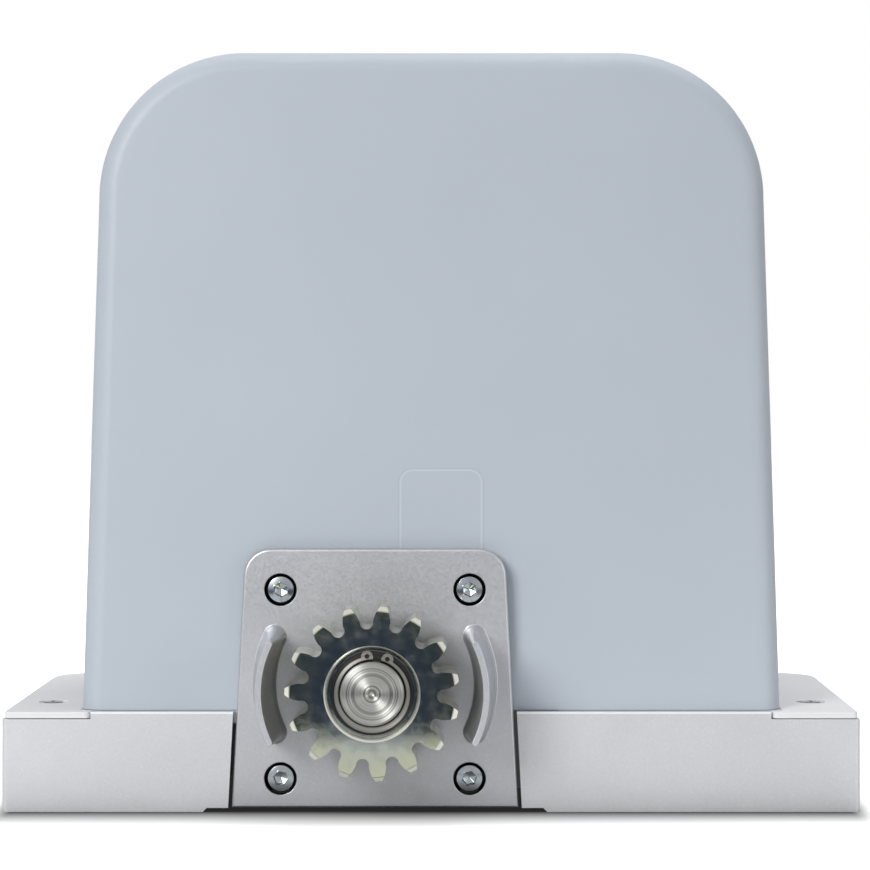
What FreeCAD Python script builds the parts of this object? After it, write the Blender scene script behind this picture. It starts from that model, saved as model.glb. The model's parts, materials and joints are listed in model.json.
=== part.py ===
"""Sliding gate motor: a FreeCAD 1.1 macro, in millimetres.

The origin is on the floor under the middle of the base. +Z is up, -Y faces the gate and its rack,
+Y faces the courtyard, and X runs along the gate. Every size comes from the sheet "Sizes".
"""
import FreeCAD
import Part
import Sketcher
import math
import os

Vector = FreeCAD.Vector
Rotation = FreeCAD.Rotation

doc = FreeCAD.newDocument("SlidingGateMotor")
sheet = doc.addObject("Spreadsheet::Sheet", "Sizes")

DRIVING_SIZES = (
    # base casting
    ("base_width", "343.6", "base casting, end to end"),
    ("base_depth", "170", "base casting, gate side to courtyard side"),
    ("base_height", "40", "floor to the ledge that carries the cover"),
    ("base_wall", "5", "skirt thickness"),
    ("deck_thickness", "6", "deck that carries the gearbox and the cover"),
    ("front_corner_round", "2", "upright corners at the gate side"),
    ("rear_corner_round", "22", "upright corners at the courtyard side"),
    ("ear_length", "35.3", "ear at each end of the base, outside the cover"),
    ("well_wall", "4", "walls of the bolt well in each ear"),
    ("well_floor", "8", "floor of the bolt well"),
    ("skirt_lift", "1.6", "skirt and gearbox stand clear of the floor by this much beside the gearbox"),
    ("skirt_lift_reach", "8.5", "how far the lifted edge runs beside the gearbox"),
    ("anchor_spacing_x", "313", "anchor slots, along the gate"),
    ("anchor_spacing_y", "124", "anchor slots, across the gate"),
    ("anchor_hole_radius", "5.5", "half the width of an anchor slot"),
    ("anchor_slot_length", "22", "anchor slot, end to end"),
    ("rail_height", "5", "rail that centres the cover"),
    ("rail_width", "2.5", "thickness of that rail"),
    # ear caps
    ("cap_thickness", "2.6", "ear cap plate"),
    ("cap_seam", "0.3", "shadow gap round an ear cap"),
    ("cap_inset", "1", "ear cap, back from the end of the base"),
    ("cap_front_inset", "0.4", "ear cap, back from the front and back of the base"),
    ("cap_screw_y", "-45", "cap screw, from the middle of the base"),
    ("cap_recess_radius", "6", "recess round the cap screw"),
    # cover
    ("cover_end_setback", "30.9", "cover foot, back from each end of the base"),
    ("cover_setback", "6", "cover foot, back from the front and back of the base"),
    ("cover_width", "=base_width - 2 * cover_end_setback", "cover at its foot"),
    ("cover_depth", "=base_depth - 2 * cover_setback", "cover at its foot, gate side to courtyard side"),
    ("cover_top", "306", "floor to the top of the cover"),
    ("cover_draft", "1.617", "lean of every cover wall, degrees"),
    ("cover_shoulder", "59", "large rounds at the top of the cover"),
    ("cover_edge_round", "8.5", "round along the front and back edges"),
    ("cover_wall", "3", "cover thickness"),
    ("cover_seat_gap", "0.2", "cover foot above the ledge"),
    ("panel_left", "-12.5", "left edge of the shallow knock-out field"),
    ("panel_right", "20.4", "right edge of that field"),
    ("panel_top", "136.6", "top edge of that field"),
    ("panel_depth", "0.35", "depth of that field"),
    # output shaft line
    ("shaft_x", "-22.4", "output shaft, from the middle of the base"),
    ("shaft_z", "51.1", "output shaft, above the floor"),
    ("plate_thickness", "12", "gearbox front plate"),
    ("plate_lip", "5.4", "part of that plate that stands outside the cover"),
    ("plate_top", "105.3", "top of the plate"),
    ("plate_top_width", "104", "plate at its top"),
    ("plate_foot_width", "114.7", "plate at its foot"),
    ("plate_corner_round", "11", "upper corners of the plate"),
    ("plate_gap", "1.4", "slit between plate and skirt"),
    ("neck_inset", "6", "how far the cover laps behind the plate"),
    ("neck_gap", "1", "between the plate's neck and the cover"),
    ("plate_screw_spacing", "75.6", "square of the four plate screws"),
    ("plate_screw_radius", "3", "M6 plate screw"),
    ("plate_counterbore_radius", "6.5", "counterbore of a plate screw"),
    ("plate_counterbore_depth", "7.2", "depth of that counterbore"),
    ("guard_reach", "38.6", "guard ribs, off the plate"),
    ("guard_radius", "44.3", "middle of a guard rib, from the output shaft"),
    ("guard_foot", "6.5", "guard rib thickness near the plate"),
    ("guard_tip", "2.5", "guard rib thickness at its tip"),
    ("guard_flare", "1.5", "flare at the root of a guard rib, on each side"),
    ("guard_flare_height", "3.5", "height of that flare"),
    ("guard_spread", "25.6", "half the angle of a rib about the output shaft, degrees"),
    # pinion and shaft
    ("pinion_module", "4", "rack and pinion module"),
    ("pinion_teeth", "15", "teeth of the pinion"),
    ("pinion_width", "28", "pinion face width"),
    ("pinion_reach", "40", "pinion face, in front of the plate"),
    ("pinion_tip_chamfer", "2", "turned chamfer on the tooth tips"),
    ("pinion_turn", "7.6", "one tooth, clockwise from straight up, degrees"),
    ("pinion_recess_radius", "17.4", "recess in the pinion face"),
    ("pinion_recess_depth", "6", "depth of that recess"),
    ("pinion_recess_chamfer", "1.4", "chamfer round the recess"),
    ("shaft_end_radius", "12.5", "shaft under the pinion"),
    ("shaft_radius", "15", "shaft in the bearings"),
    ("shaft_bore_radius", "6", "bore for the release rod"),
    ("key_width", "8", "pinion key"),
    ("key_height", "7", "height of that key"),
    ("key_depth", "4", "depth of the keyway in the shaft"),
    ("circlip_groove_radius", "11.95", "bottom of the circlip groove"),
    ("circlip_thickness", "1.2", "circlip"),
    ("washer_thickness", "1.5", "retaining washer"),
    ("washer_radius", "16.4", "that washer, outside"),
    ("bearing_radius", "27.5", "output bearings, outside"),
    ("bearing_width", "13", "output bearings"),
    ("seal_radius", "20", "oil seal, outside"),
    ("seal_width", "7", "oil seal"),
    ("front_bearing_setback", "9", "front bearing, behind the face of the gearbox plate"),
    ("shaft_collar", "3", "collar behind the front bearing, off the shaft"),
    ("shaft_collar_width", "2", "width of that collar"),
    ("rear_bearing_y", "8", "gate-side face of the rear bearing"),
    # worm gear
    ("worm_module", "3", "worm gear module"),
    ("wheel_teeth", "24", "teeth of the worm wheel"),
    ("wheel_width", "20", "face width of the worm wheel"),
    ("wheel_y", "-15", "middle of the worm wheel"),
    ("wheel_hub_radius", "28", "hub of the worm wheel"),
    ("wheel_hub_width", "28", "length of that hub"),
    ("worm_pitch_radius", "12.5", "worm pitch radius"),
    ("worm_turns", "3", "turns of the worm thread"),
    ("tooth_play", "0.12", "play of each worm gear flank"),
    ("tooth_tip_gap", "0.2", "tip clearance of every gear, in modules"),
    # gearbox body
    ("body_left", "46", "gearbox body, left of the output shaft"),
    ("body_rear_y", "22", "courtyard-side face of the gearbox body"),
    ("body_floor", "8", "underside of the gearbox body"),
    ("rear_cover_thickness", "7", "gearbox rear cover"),
    ("body_top", "103", "top of the gearbox body, which carries the motor"),
    ("cavity_radius", "42.5", "bore of the gearbox body"),
    ("gasket_thickness", "0.5", "front gasket"),
    ("tunnel_radius", "17.5", "worm bore, which also seats the worm bearings"),
    ("tunnel_wall", "6", "wall round the worm bore"),
    ("foot_width", "20", "feet of the gearbox body on the deck"),
    ("foot_height", "10", "height of those feet"),
    ("foot_front_y", "-58", "gate-side end of those feet"),
    ("foot_rear_y", "14", "courtyard-side end of those feet"),
    ("foot_screw_inset", "10", "foot screws, from the ends of the feet"),
    ("foot_screw_radius", "4", "M8 foot screw"),
    ("small_screw_radius", "2.5", "M5 screws of the gearbox rear cover"),
    # motor
    ("motor_radius", "44", "motor shell"),
    ("motor_wall", "3", "motor shell thickness"),
    ("motor_flange_radius", "54", "motor flange"),
    ("motor_flange_height", "8", "thickness of that flange"),
    ("motor_height", "118", "motor shell, over its flange"),
    ("stator_height", "60", "lamination stack"),
    ("rotor_radius", "24", "rotor"),
    ("air_gap", "0.4", "rotor to stator"),
    ("spindle_radius", "7.5", "rotor spindle"),
    ("worm_bearing_width", "11", "worm and rotor bearings"),
    # release
    ("clutch_stroke", "6", "travel of the release clutch"),
    ("clutch_radius", "26", "clutch ring"),
    ("clutch_width", "12", "clutch ring without its dogs"),
    ("dog_height", "5", "clutch dogs"),
    ("cross_pin_radius", "3", "pin through the clutch ring, the shaft and the rod"),
    ("lever_setback", "19", "release spindle, in from the courtyard side of the base"),
    ("lever_spindle_radius", "6", "release spindle"),
    ("lever_turn", "90", "how far the lever opens, degrees"),
    ("lever_length", "97", "lever, from its spindle to its end"),
    ("lever_thickness", "8.7", "lever bar"),
    ("lever_low", "8.4", "underside of the lever"),
    ("lever_high", "33.4", "top of the lever"),
    ("cam_rest_height", "9", "cam face from the spindle, lever closed"),
    ("cam_thickness", "10", "release cam"),
    ("rod_head_radius", "9", "head of the release rod"),
    ("lock_reach", "78", "lock, from the release spindle"),
    ("lock_z", "20", "lock, above the floor"),
    ("lock_radius", "9", "lock barrel"),
    # cover posts, cable entry, ribs
    ("post_size", "9", "posts that take the cover screws, inwards"),
    ("post_width", "18", "width of those posts"),
    ("post_height", "16", "height of those posts over the ledge"),
    ("cover_screw_rise", "9", "cover screws above the ledge"),
    ("cover_screw_radius", "2.5", "cover screws"),
    ("cap_post_radius", "5", "post of the cap screw"),
    ("cap_screw_radius", "2.1", "cap screw"),
    ("cable_hole_end", "66.8", "cable entry, from the left end of the base"),
    ("cable_hole_back", "40", "cable entry, from the courtyard side of the base"),
    ("cable_hole_radius", "14", "cable entry hole in the deck"),
    ("grommet_bore_radius", "9", "cable grommet bore"),
    ("rib_thickness", "4", "ribs under the deck"),
    ("rib_low", "14", "underside of those ribs"),
    ("seat_block", "14", "half the block that seats the release spindle"),
    ("strike_width", "24", "strike of the lock"),
    ("strike_depth", "3.7", "strike of the lock, inwards"),
    ("spindle_seat_z", "3", "bottom of the release spindle's seat"),
    # electrics
    ("transformer_x", "99.5", "transformer, from the middle of the base"),
    ("transformer_y", "-12", "transformer"),
    ("transformer_width", "54", "transformer core, along the gate"),
    ("transformer_stack", "34", "transformer core, across the gate"),
    ("transformer_height", "46", "transformer core"),
    ("bracket_y", "40", "board bracket"),
    ("bracket_left", "-84", "board bracket, left edge"),
    ("bracket_right", "37", "board bracket, right edge"),
    ("bracket_top", "255", "board bracket, top"),
    ("sheet_thickness", "1.5", "bracket and clamp sheet"),
    ("board_left", "-110", "control board, left edge"),
    ("board_right", "36", "control board, right edge"),
    ("board_low", "128", "control board, lower edge"),
    ("board_high", "250", "control board, upper edge"),
    ("board_thickness", "1.6", "control board"),
    ("standoff_length", "5", "standoffs of the control board"),
    ("capacitor_x", "-109", "run capacitor"),
    ("capacitor_y", "-35", "run capacitor"),
    ("capacitor_radius", "20", "run capacitor"),
    ("capacitor_height", "72", "run capacitor"),
    ("clamp_low", "18", "capacitor clamp band, above the deck"),
    ("clamp_band", "14", "height of that band"),
    ("clamp_leg_width", "16", "leg of that clamp"),
    ("clamp_foot", "14", "foot of that clamp"),
    ("terminal_pitch", "34", "terminal blocks and relays, one to the next"),
    ("terminal_width", "30", "terminal block"),
    ("terminal_height", "10", "terminal block"),
    ("terminal_depth", "12", "terminal block, off the board"),
    ("relay_rise", "22", "relays, above the foot of the terminal blocks"),
    ("relay_width", "19", "relay"),
    ("relay_height", "29", "relay"),
    ("relay_depth", "15", "relay, off the board"),
    ("sensor_width", "24", "limit sensor"),
    ("sensor_thickness", "4.2", "limit sensor"),
    # clearances
    ("running_fit", "0.04", "radial clearance of every running fit"),
    ("loose_fit", "0.3", "clearance beside pieces that move past each other"),
)
for row, (name, value, meaning) in enumerate(DRIVING_SIZES, 1):
    sheet.set(f"A{row}", meaning)
    sheet.set(f"B{row}", value)
    sheet.setAlias(f"B{row}", name)
doc.recompute()


class Size(float):
    """A number that keeps its formula, so that a property can be bound to the sheet."""

    def __new__(cls, value, formula=None):
        number = super().__new__(cls, value)
        number.formula = formula or f"({float(value)!r})"
        return number

    def joined(self, other, sign, turned=False):
        left, right = (Size.of(other), self) if turned else (self, Size.of(other))
        a, b = float(left), float(right)
        value = {"+": lambda: a + b, "-": lambda: a - b, "*": lambda: a * b, "/": lambda: a / b}[sign]()
        return Size(value, f"({left.formula} {sign} {right.formula})")

    @staticmethod
    def of(value):
        return value if isinstance(value, Size) else Size(value)

    def __add__(self, other):
        return self.joined(other, "+")

    def __radd__(self, other):
        return self.joined(other, "+", True)

    def __sub__(self, other):
        return self.joined(other, "-")

    def __rsub__(self, other):
        return self.joined(other, "-", True)

    def __mul__(self, other):
        return self.joined(other, "*")

    def __rmul__(self, other):
        return self.joined(other, "*", True)

    def __truediv__(self, other):
        return self.joined(other, "/")

    def __neg__(self):
        return self.joined(-1, "*")


def tangent(angle):
    """Tangent of a size in degrees."""
    return Size(math.tan(math.radians(angle)), f"tan({Size.of(angle).formula} * 1 deg)")


def cosine(angle):
    """Cosine of a size in degrees."""
    return Size(math.cos(math.radians(angle)), f"cos({Size.of(angle).formula} * 1 deg)")


class SizeTable:
    """Reads a named size from the sheet."""

    def __getattr__(self, name):
        return Size(getattr(sheet, name), f"Sizes.{name}")


size = SizeTable()

SPAN = {"XY_Plane": 1, "YZ_Plane": 1, "XZ_Plane": -1}  # which way each plane's sketch faces along its axis
sub_parts = []


def bind(item, path, value):
    """Binds a property to the formula of a size."""
    item.setExpression(path, Size.of(value).formula)


def place(item, x=0, y=0, z=0):
    """Binds where an object stands."""
    for axis, value in zip("xyz", (x, y, z)):
        bind(item, f"Placement.Base.{axis}", value)
    return item


def keep(item, label):
    """Makes an object one of the sub-parts that are written out."""
    item.Label = label
    sub_parts.append(item)
    return item


def new_body(name, x=0, y=0, z=0):
    """A PartDesign body at a place."""
    return place(doc.addObject("PartDesign::Body", name), x, y, z)


def sketch_on(body, role, lift=0):
    """An empty sketch on one of the body's own origin planes, lifted off it."""
    sketch = body.newObject("Sketcher::SketchObject", "Sketch")
    plane = next(item for item in body.Origin.OriginFeatures if item.Role == role)
    sketch.AttachmentSupport = [(plane, "")]
    sketch.MapMode = "FlatFace"
    bind(sketch, "AttachmentOffset.Base.z", lift)
    return sketch


def dimension(sketch, kind, *where, value):
    """One bound constraint."""
    index = sketch.addConstraint(Sketcher.Constraint(kind, *where, float(value)))
    bind(sketch, f"Constraints[{index}]", value)


def hold(sketch, item, point, x, y):
    """Holds a point of the sketch at two bound distances from its origin."""
    dimension(sketch, "DistanceX", -1, 1, item, point, value=x)
    dimension(sketch, "DistanceY", -1, 1, item, point, value=y)


def polygon(sketch, corners):
    """A closed outline with straight sides."""
    first = sketch.GeometryCount
    count = len(corners)
    for index, (start, end) in enumerate(zip(corners, corners[1:] + corners[:1])):
        sketch.addGeometry(Part.LineSegment(Vector(*map(float, start), 0), Vector(*map(float, end), 0)))
    for index in range(count):
        after = first + (index + 1) % count
        sketch.addConstraint(Sketcher.Constraint("Coincident", first + index, 2, after, 1))
    for index, (x, y) in enumerate(corners):
        hold(sketch, first + index, 1, x, y)


def rectangle(sketch, left, low, right, high):
    """An upright rectangle."""
    polygon(sketch, [(left, low), (right, low), (right, high), (left, high)])


def circle(sketch, x, y, radius):
    """A circle with a bound centre and radius."""
    index = sketch.addGeometry(Part.Circle(Vector(float(x), float(y), 0), Vector(0, 0, 1), float(radius)))
    hold(sketch, index, 3, x, y)
    dimension(sketch, "Radius", index, value=radius)


def slot(sketch, x, y, length, radius):
    """A round-ended slot along the sketch's second axis."""
    reach = length / 2 - radius
    for high in (1, -1):
        centre = Vector(float(x), float(y) + high * float(reach), 0)
        arc = Part.ArcOfCircle(Part.Circle(centre, Vector(0, 0, 1), float(radius)),
                               0 if high > 0 else math.pi, math.pi if high > 0 else 2 * math.pi)
        index = sketch.addGeometry(arc)
        hold(sketch, index, 3, x, y + high * reach)
        dimension(sketch, "Radius", index, value=radius)
    for side in (1, -1):
        ends = [Vector(float(x) + side * float(radius), float(y) + high * float(reach), 0)
                for high in (1, -1)]
        sketch.addGeometry(Part.LineSegment(*ends))
    top, bottom, right, left = range(sketch.GeometryCount - 4, sketch.GeometryCount)
    for joint in ((top, 1, right, 1), (right, 2, bottom, 2), (bottom, 1, left, 2), (left, 1, top, 2)):
        sketch.addConstraint(Sketcher.Constraint("Tangent", *joint))


def prism(body, kind, role, low, high, draw):
    """Adds ("Pad") or cuts ("Pocket") what draw(sketch) outlines, between two heights on the plane's axis."""
    facing = SPAN[role]
    starts_low = (facing > 0) == (kind == "Pad")
    sketch = sketch_on(body, role, facing * (low if starts_low else high))
    draw(sketch)
    feature = body.newObject(f"PartDesign::{kind}", kind)
    feature.Profile = sketch
    bind(feature, "Length", high - low)
    return feature


def turned(body, axis, corners, kind="Revolution"):
    """A shape turned on a lathe. Corners are (along, radius) about Y, or (radius, up) about Z."""
    sketch = sketch_on(body, {"Y": "YZ_Plane", "Z": "XZ_Plane"}[axis])
    polygon(sketch, corners)
    feature = body.newObject(f"PartDesign::{kind}", kind)
    feature.Profile = sketch
    feature.ReferenceAxis = (sketch, [{"Y": "H_Axis", "Z": "V_Axis"}[axis]])
    feature.Angle = 360
    return feature


def round_edges(body, radius, wanted, kind="Fillet"):
    """Rounds or chamfers the edges of a body for which wanted(edge) holds."""
    doc.recompute()
    tip = body.Tip
    names = [f"Edge{index}" for index, edge in enumerate(tip.Shape.Edges, 1) if wanted(edge)]
    feature = body.newObject(f"PartDesign::{kind}", kind)
    feature.Base = (tip, names)
    bind(feature, {"Fillet": "Radius", "Chamfer": "Size"}[kind], radius)
    return feature


def upright(edge):
    """True for a straight edge along Z."""
    start, end = (vertex.Point for vertex in (edge.Vertexes[0], edge.Vertexes[-1]))
    return abs(start.x - end.x) < 1e-6 and abs(start.y - end.y) < 1e-6 and abs(start.z - end.z) > 1e-6


def along_y(edge):
    """True for a straight edge along Y."""
    start, end = (vertex.Point for vertex in (edge.Vertexes[0], edge.Vertexes[-1]))
    return abs(start.x - end.x) < 1e-6 and abs(start.z - end.z) < 1e-6 and abs(start.y - end.y) > 1e-6


def ring(name, inner, outer, low, high, x=0, y=0, z=0, axis="Y"):
    """A plain ring between two places along its axis."""
    body = new_body(name, x, y, z)
    corners = [(low, inner), (high, inner), (high, outer), (low, outer)]
    if axis == "Z":
        corners = [(radius, up) for up, radius in corners]
    turned(body, axis, corners)
    return body


def primitive(kind, name, at=(0, 0, 0), turn=None, **sizes):
    """A Part primitive whose sizes and place are bound."""
    item = doc.addObject(f"Part::{kind}", name)
    if turn is not None:
        item.Placement = FreeCAD.Placement(Vector(), turn)
    for path, value in sizes.items():
        bind(item, path, value)
    return place(item, *at)


def combined(kind, name, base, *others):
    """A Part boolean of objects: "MultiFuse", "MultiCommon" or "Cut"."""
    item = doc.addObject(f"Part::{kind}", name)
    if kind == "Cut":
        item.Base = base
        item.Tool = others[0] if len(others) == 1 else combined("MultiFuse", f"{name}Tools", *others)
    else:
        item.Shapes = [base, *others]
    item.Refine = False
    return item


TO_Y = Rotation(Vector(1, 0, 0), -90)  # turns a Part cylinder from Z to +Y

# ---------------------------------------------------------------------------------------------
# Places that several pieces share
# ---------------------------------------------------------------------------------------------
front_y = -size.base_depth / 2
rear_y = size.base_depth / 2
end_x = size.base_width / 2
cap_tab_x = end_x - size.ear_length
ear_step_x = size.cover_width / 2 + size.cap_seam / 3
ear_step_y = size.cover_depth / 2 + size.cap_seam / 3
deck_low = size.base_height - size.deck_thickness
ear_rim = size.base_height - size.cap_thickness - size.cap_seam
cap_x = size.anchor_spacing_x / 2

plate_lip_y = front_y + size.plate_lip
plate_rear_y = front_y + size.plate_thickness
body_front_y = plate_rear_y + size.gasket_thickness
plate_low = size.skirt_lift

pinion_front_y = front_y - size.pinion_reach
pinion_rear_y = pinion_front_y + size.pinion_width
pinion_pitch = size.pinion_module * size.pinion_teeth / 2
pinion_tip = pinion_pitch + size.pinion_module
recess_floor_y = pinion_front_y + size.pinion_recess_depth
washer_front_y = recess_floor_y - size.washer_thickness
circlip_front_y = washer_front_y - size.circlip_thickness

wheel_pitch = size.worm_module * size.wheel_teeth / 2
centre_distance = wheel_pitch + size.worm_pitch_radius
worm_x = size.shaft_x + centre_distance
worm_tip = size.worm_pitch_radius + size.worm_module
worm_root = size.worm_pitch_radius - size.worm_module * (1 + size.tooth_tip_gap)
thread_pitch = size.worm_module * Size(math.pi)
hub_front_y = size.wheel_y - size.wheel_hub_width / 2
hub_rear_y = size.wheel_y + size.wheel_hub_width / 2

front_bearing_y = front_y + size.front_bearing_setback
front_bearing_rear_y = front_bearing_y + size.bearing_width
rear_bearing_rear_y = size.rear_bearing_y + size.bearing_width

body_right_x = worm_x + size.tunnel_radius + size.tunnel_wall
body_left_x = size.shaft_x - size.body_left
worm_bearing_low = size.body_floor + 5
flange_top = size.body_top + size.motor_flange_height
shell_top = flange_top + size.motor_height
stator_low = flange_top + 24

rear_cover_top = size.body_top - 12 - size.loose_fit
rear_cover_back_y = size.body_rear_y + size.rear_cover_thickness

clutch_rear_y = hub_front_y - size.loose_fit
clutch_front_y = clutch_rear_y - size.clutch_width
cross_pin_y = (clutch_rear_y + clutch_front_y) / 2
lever_y = rear_y - size.lever_setback
rod_end_y = lever_y - size.cam_rest_height - size.loose_fit
lock_x = size.shaft_x + size.lock_reach
lever_face_y = rear_y - size.loose_fit
lever_hub_radius = lever_face_y - lever_y
cable_x = size.cable_hole_end - end_x
cable_y = rear_y - size.cable_hole_back


def plate_half_width(up, inset=0):
    """Half the gearbox plate at a height, less an inset. Its sides lean in from foot to top."""
    lean = (size.plate_foot_width - size.plate_top_width) / 2 / (size.plate_top - plate_low)
    return size.plate_foot_width / 2 - lean * (up - plate_low) - inset


def plate_outline(sketch, low, high, inset=0):
    """The plate's leaning outline between two heights."""
    polygon(sketch, [(size.shaft_x - plate_half_width(low, inset), low),
                     (size.shaft_x + plate_half_width(low, inset), low),
                     (size.shaft_x + plate_half_width(high, inset), high),
                     (size.shaft_x - plate_half_width(high, inset), high)])


def corner_places(x, z, spacing):
    """Four places on a square."""
    return [(x + side * spacing / 2, z + high * spacing / 2) for side in (-1, 1) for high in (-1, 1)]


# ---------------------------------------------------------------------------------------------
# Base casting
# ---------------------------------------------------------------------------------------------
def base_casting():
    """A cast tray turned upside down: skirt, deck, and a bolt well in each ear."""
    body = new_body("BaseCasting")
    prism(body, "Pad", "XY_Plane", 0, size.base_height,
          lambda s: rectangle(s, -end_x, front_y, end_x, rear_y))
    round_edges(body, size.rear_corner_round, lambda e: upright(e) and e.Vertexes[0].Y > 0)
    round_edges(body, size.front_corner_round,
                lambda e: upright(e) and abs(e.Vertexes[0].Y - front_y) < 1e-3)
    inner_y = rear_y - size.base_wall
    for side in (-1, 1):
        prism(body, "Pocket", "XY_Plane", ear_rim, size.base_height,
              lambda s: cap_outline(s, side, size.cap_seam, 1))
        prism(body, "Pocket", "XY_Plane", size.well_floor, size.base_height,
              lambda s: well_outline(s, side, ear_step_x + size.well_wall, end_x - size.base_wall, inner_y))
        prism(body, "Pad", "XY_Plane", size.well_floor, size.base_height - size.cap_thickness,
              lambda s: circle(s, side * cap_x, size.cap_screw_y, size.cap_post_radius))
        prism(body, "Pocket", "XY_Plane", size.well_floor + 10, size.base_height,
              lambda s: circle(s, side * cap_x, size.cap_screw_y, size.cap_screw_radius))
    prism(body, "Pocket", "XY_Plane", 0, deck_low,
          lambda s: rectangle(s, -ear_step_x, -inner_y, ear_step_x, inner_y))
    slots(body)
    plate_opening(body)
    gearbox_opening(body)
    cover_rail(body)
    lever_window(body)
    cover_posts(body)
    prism(body, "Pocket", "XY_Plane", deck_low, size.base_height,
          lambda s: circle(s, cable_x, cable_y, size.cable_hole_radius))
    ribs(body)
    return keep(body, "base_casting")


def sorted_pair(side, near, far, low, high):
    """Rectangle corners for a zone that reaches from near to far on one side."""
    return (near, low, far, high) if side > 0 else (-far, low, -near, high)


def cap_outline(sketch, side, grow, overrun):
    """An ear cap's outline, grown by the seam, with tabs in front of and behind the cover."""
    tab = side * (cap_tab_x - grow)
    step = side * (ear_step_x + size.cap_seam - grow)
    far = side * (end_x - size.cap_inset + grow + overrun)
    edge_y = rear_y - size.cap_front_inset + grow + overrun
    tab_y = ear_step_y + size.cap_seam - grow
    polygon(sketch, [(tab, -edge_y), (far, -edge_y), (far, edge_y), (tab, edge_y), (tab, tab_y),
                     (step, tab_y), (step, -tab_y), (tab, -tab_y)])


def well_outline(sketch, side, near, far, inner_y):
    """The bolt well, with its outer rear corner cut off inside the rounded ear."""
    cut = size.rear_corner_round - size.base_wall
    polygon(sketch, [(side * near, -inner_y), (side * far, -inner_y), (side * far, inner_y - cut),
                     (side * (far - cut), inner_y), (side * near, inner_y)])


def slots(body):
    """Four anchor slots through the well floors."""
    def draw(sketch):
        for side in (-1, 1):
            for end in (-1, 1):
                slot(sketch, side * cap_x, end * size.anchor_spacing_y / 2, size.anchor_slot_length,
                     size.anchor_hole_radius)
    prism(body, "Pocket", "XY_Plane", 0, size.well_floor, draw)


def plate_opening(body):
    """The gearbox plate hangs in a slit of even width, and the skirt is lifted beside it."""
    gap = -size.plate_gap
    foot = plate_half_width(0, gap)
    lifted = plate_half_width(size.skirt_lift, gap)
    top = plate_half_width(size.base_height + 1, gap)
    reach = size.skirt_lift_reach
    lift = size.skirt_lift
    x = size.shaft_x
    corners = [(x - foot - reach - lift, 0), (x - foot - reach, lift), (x - lifted, lift),
               (x - top, size.base_height + 1), (x + top, size.base_height + 1), (x + lifted, lift),
               (x + foot + reach, lift), (x + foot + reach + lift, 0)]
    prism(body, "Pocket", "XZ_Plane", front_y - 1, front_y + size.base_wall + 1,
          lambda s: polygon(s, corners))


def gearbox_opening(body):
    """The gearbox hangs through the deck with room round it, behind a skirt that stays whole."""
    room = 1.5
    half = plate_half_width(deck_low, size.neck_inset)
    prism(body, "Pocket", "XY_Plane", deck_low, size.base_height + 1,
          lambda s: rectangle(s, size.shaft_x - half - room, front_y + size.base_wall, body_right_x + room,
                              size.body_rear_y + 6 + room))


def cover_rail(body):
    """Low rails inside the cover's foot, stopped short of its round corners and of the gearbox."""
    lean = size.rail_height * tangent(size.cover_draft)
    half_x = size.cover_width / 2 - size.cover_wall - size.loose_fit - lean
    half_y = size.cover_depth / 2 - size.cover_wall - size.loose_fit - lean
    width = size.rail_width
    corner = size.cover_edge_round
    stop_left = size.shaft_x - plate_half_width(size.base_height) - 4
    stop_right = body_right_x + size.foot_width - 4

    def draw(sketch):
        rectangle(sketch, corner - half_x, -half_y, stop_left, width - half_y)
        rectangle(sketch, stop_right, -half_y, half_x - corner, width - half_y)
        rectangle(sketch, corner - half_x, half_y - width, half_x - corner, half_y)
        for side in (-1, 1):
            rectangle(sketch, *sorted_pair(side, half_x - width, half_x, corner - half_y, half_y - corner))
    prism(body, "Pad", "XY_Plane", size.base_height, size.base_height + size.rail_height, draw)


def lever_window(body):
    """Window in the courtyard skirt for the release lever, with the strike and the spindle's seats."""
    left = size.shaft_x - lever_hub_radius - size.loose_fit
    right = size.shaft_x + size.lever_length + size.loose_fit
    prism(body, "Pocket", "XZ_Plane", rear_y - size.base_wall - 1, rear_y + 1,
          lambda s: rectangle(s, left, size.well_floor, right, deck_low))
    inner_y = rear_y - size.base_wall
    block = size.seat_block
    prism(body, "Pad", "XY_Plane", 0, size.well_floor,
          lambda s: rectangle(s, size.shaft_x - block, lever_y - block, size.shaft_x + block, inner_y + 0.5))
    strike = size.strike_width / 2
    prism(body, "Pad", "XY_Plane", 0, size.well_floor,
          lambda s: rectangle(s, lock_x - strike, inner_y - size.strike_depth,
                              lock_x + strike, inner_y + 0.5))
    hole = size.lever_spindle_radius + size.running_fit
    prism(body, "Pocket", "XY_Plane", size.spindle_seat_z, size.base_height + 1,
          lambda s: circle(s, size.shaft_x, lever_y, hole))


def cover_posts(body):
    """Posts inside the ends of the cover that take the two cover screws."""
    lean = size.post_height * tangent(size.cover_draft)
    outer = size.cover_width / 2 - size.cover_wall - size.loose_fit - lean
    for side in (-1, 1):
        prism(body, "Pad", "XY_Plane", size.base_height, size.base_height + size.post_height,
              lambda s: rectangle(s, *sorted_pair(side, outer - size.post_size, outer,
                                                  -size.post_width / 2, size.post_width / 2)))

    def draw(sketch):
        circle(sketch, 0, size.base_height + size.cover_screw_rise, size.cover_screw_radius)
    prism(body, "Pocket", "YZ_Plane", -outer - 1, outer + 1, draw)


def ribs(body):
    """Stiffening ribs under the deck, clear of the gearbox and the lever."""
    inner_y = rear_y - size.base_wall
    half = size.rib_thickness / 2
    for x in (body_left_x - 12, body_right_x + 28, body_right_x + 58):
        prism(body, "Pad", "XY_Plane", size.rib_low, deck_low + 0.5,
              lambda s: rectangle(s, x - half, 0.5 - inner_y, x + half, size.body_rear_y + 24))


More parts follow.
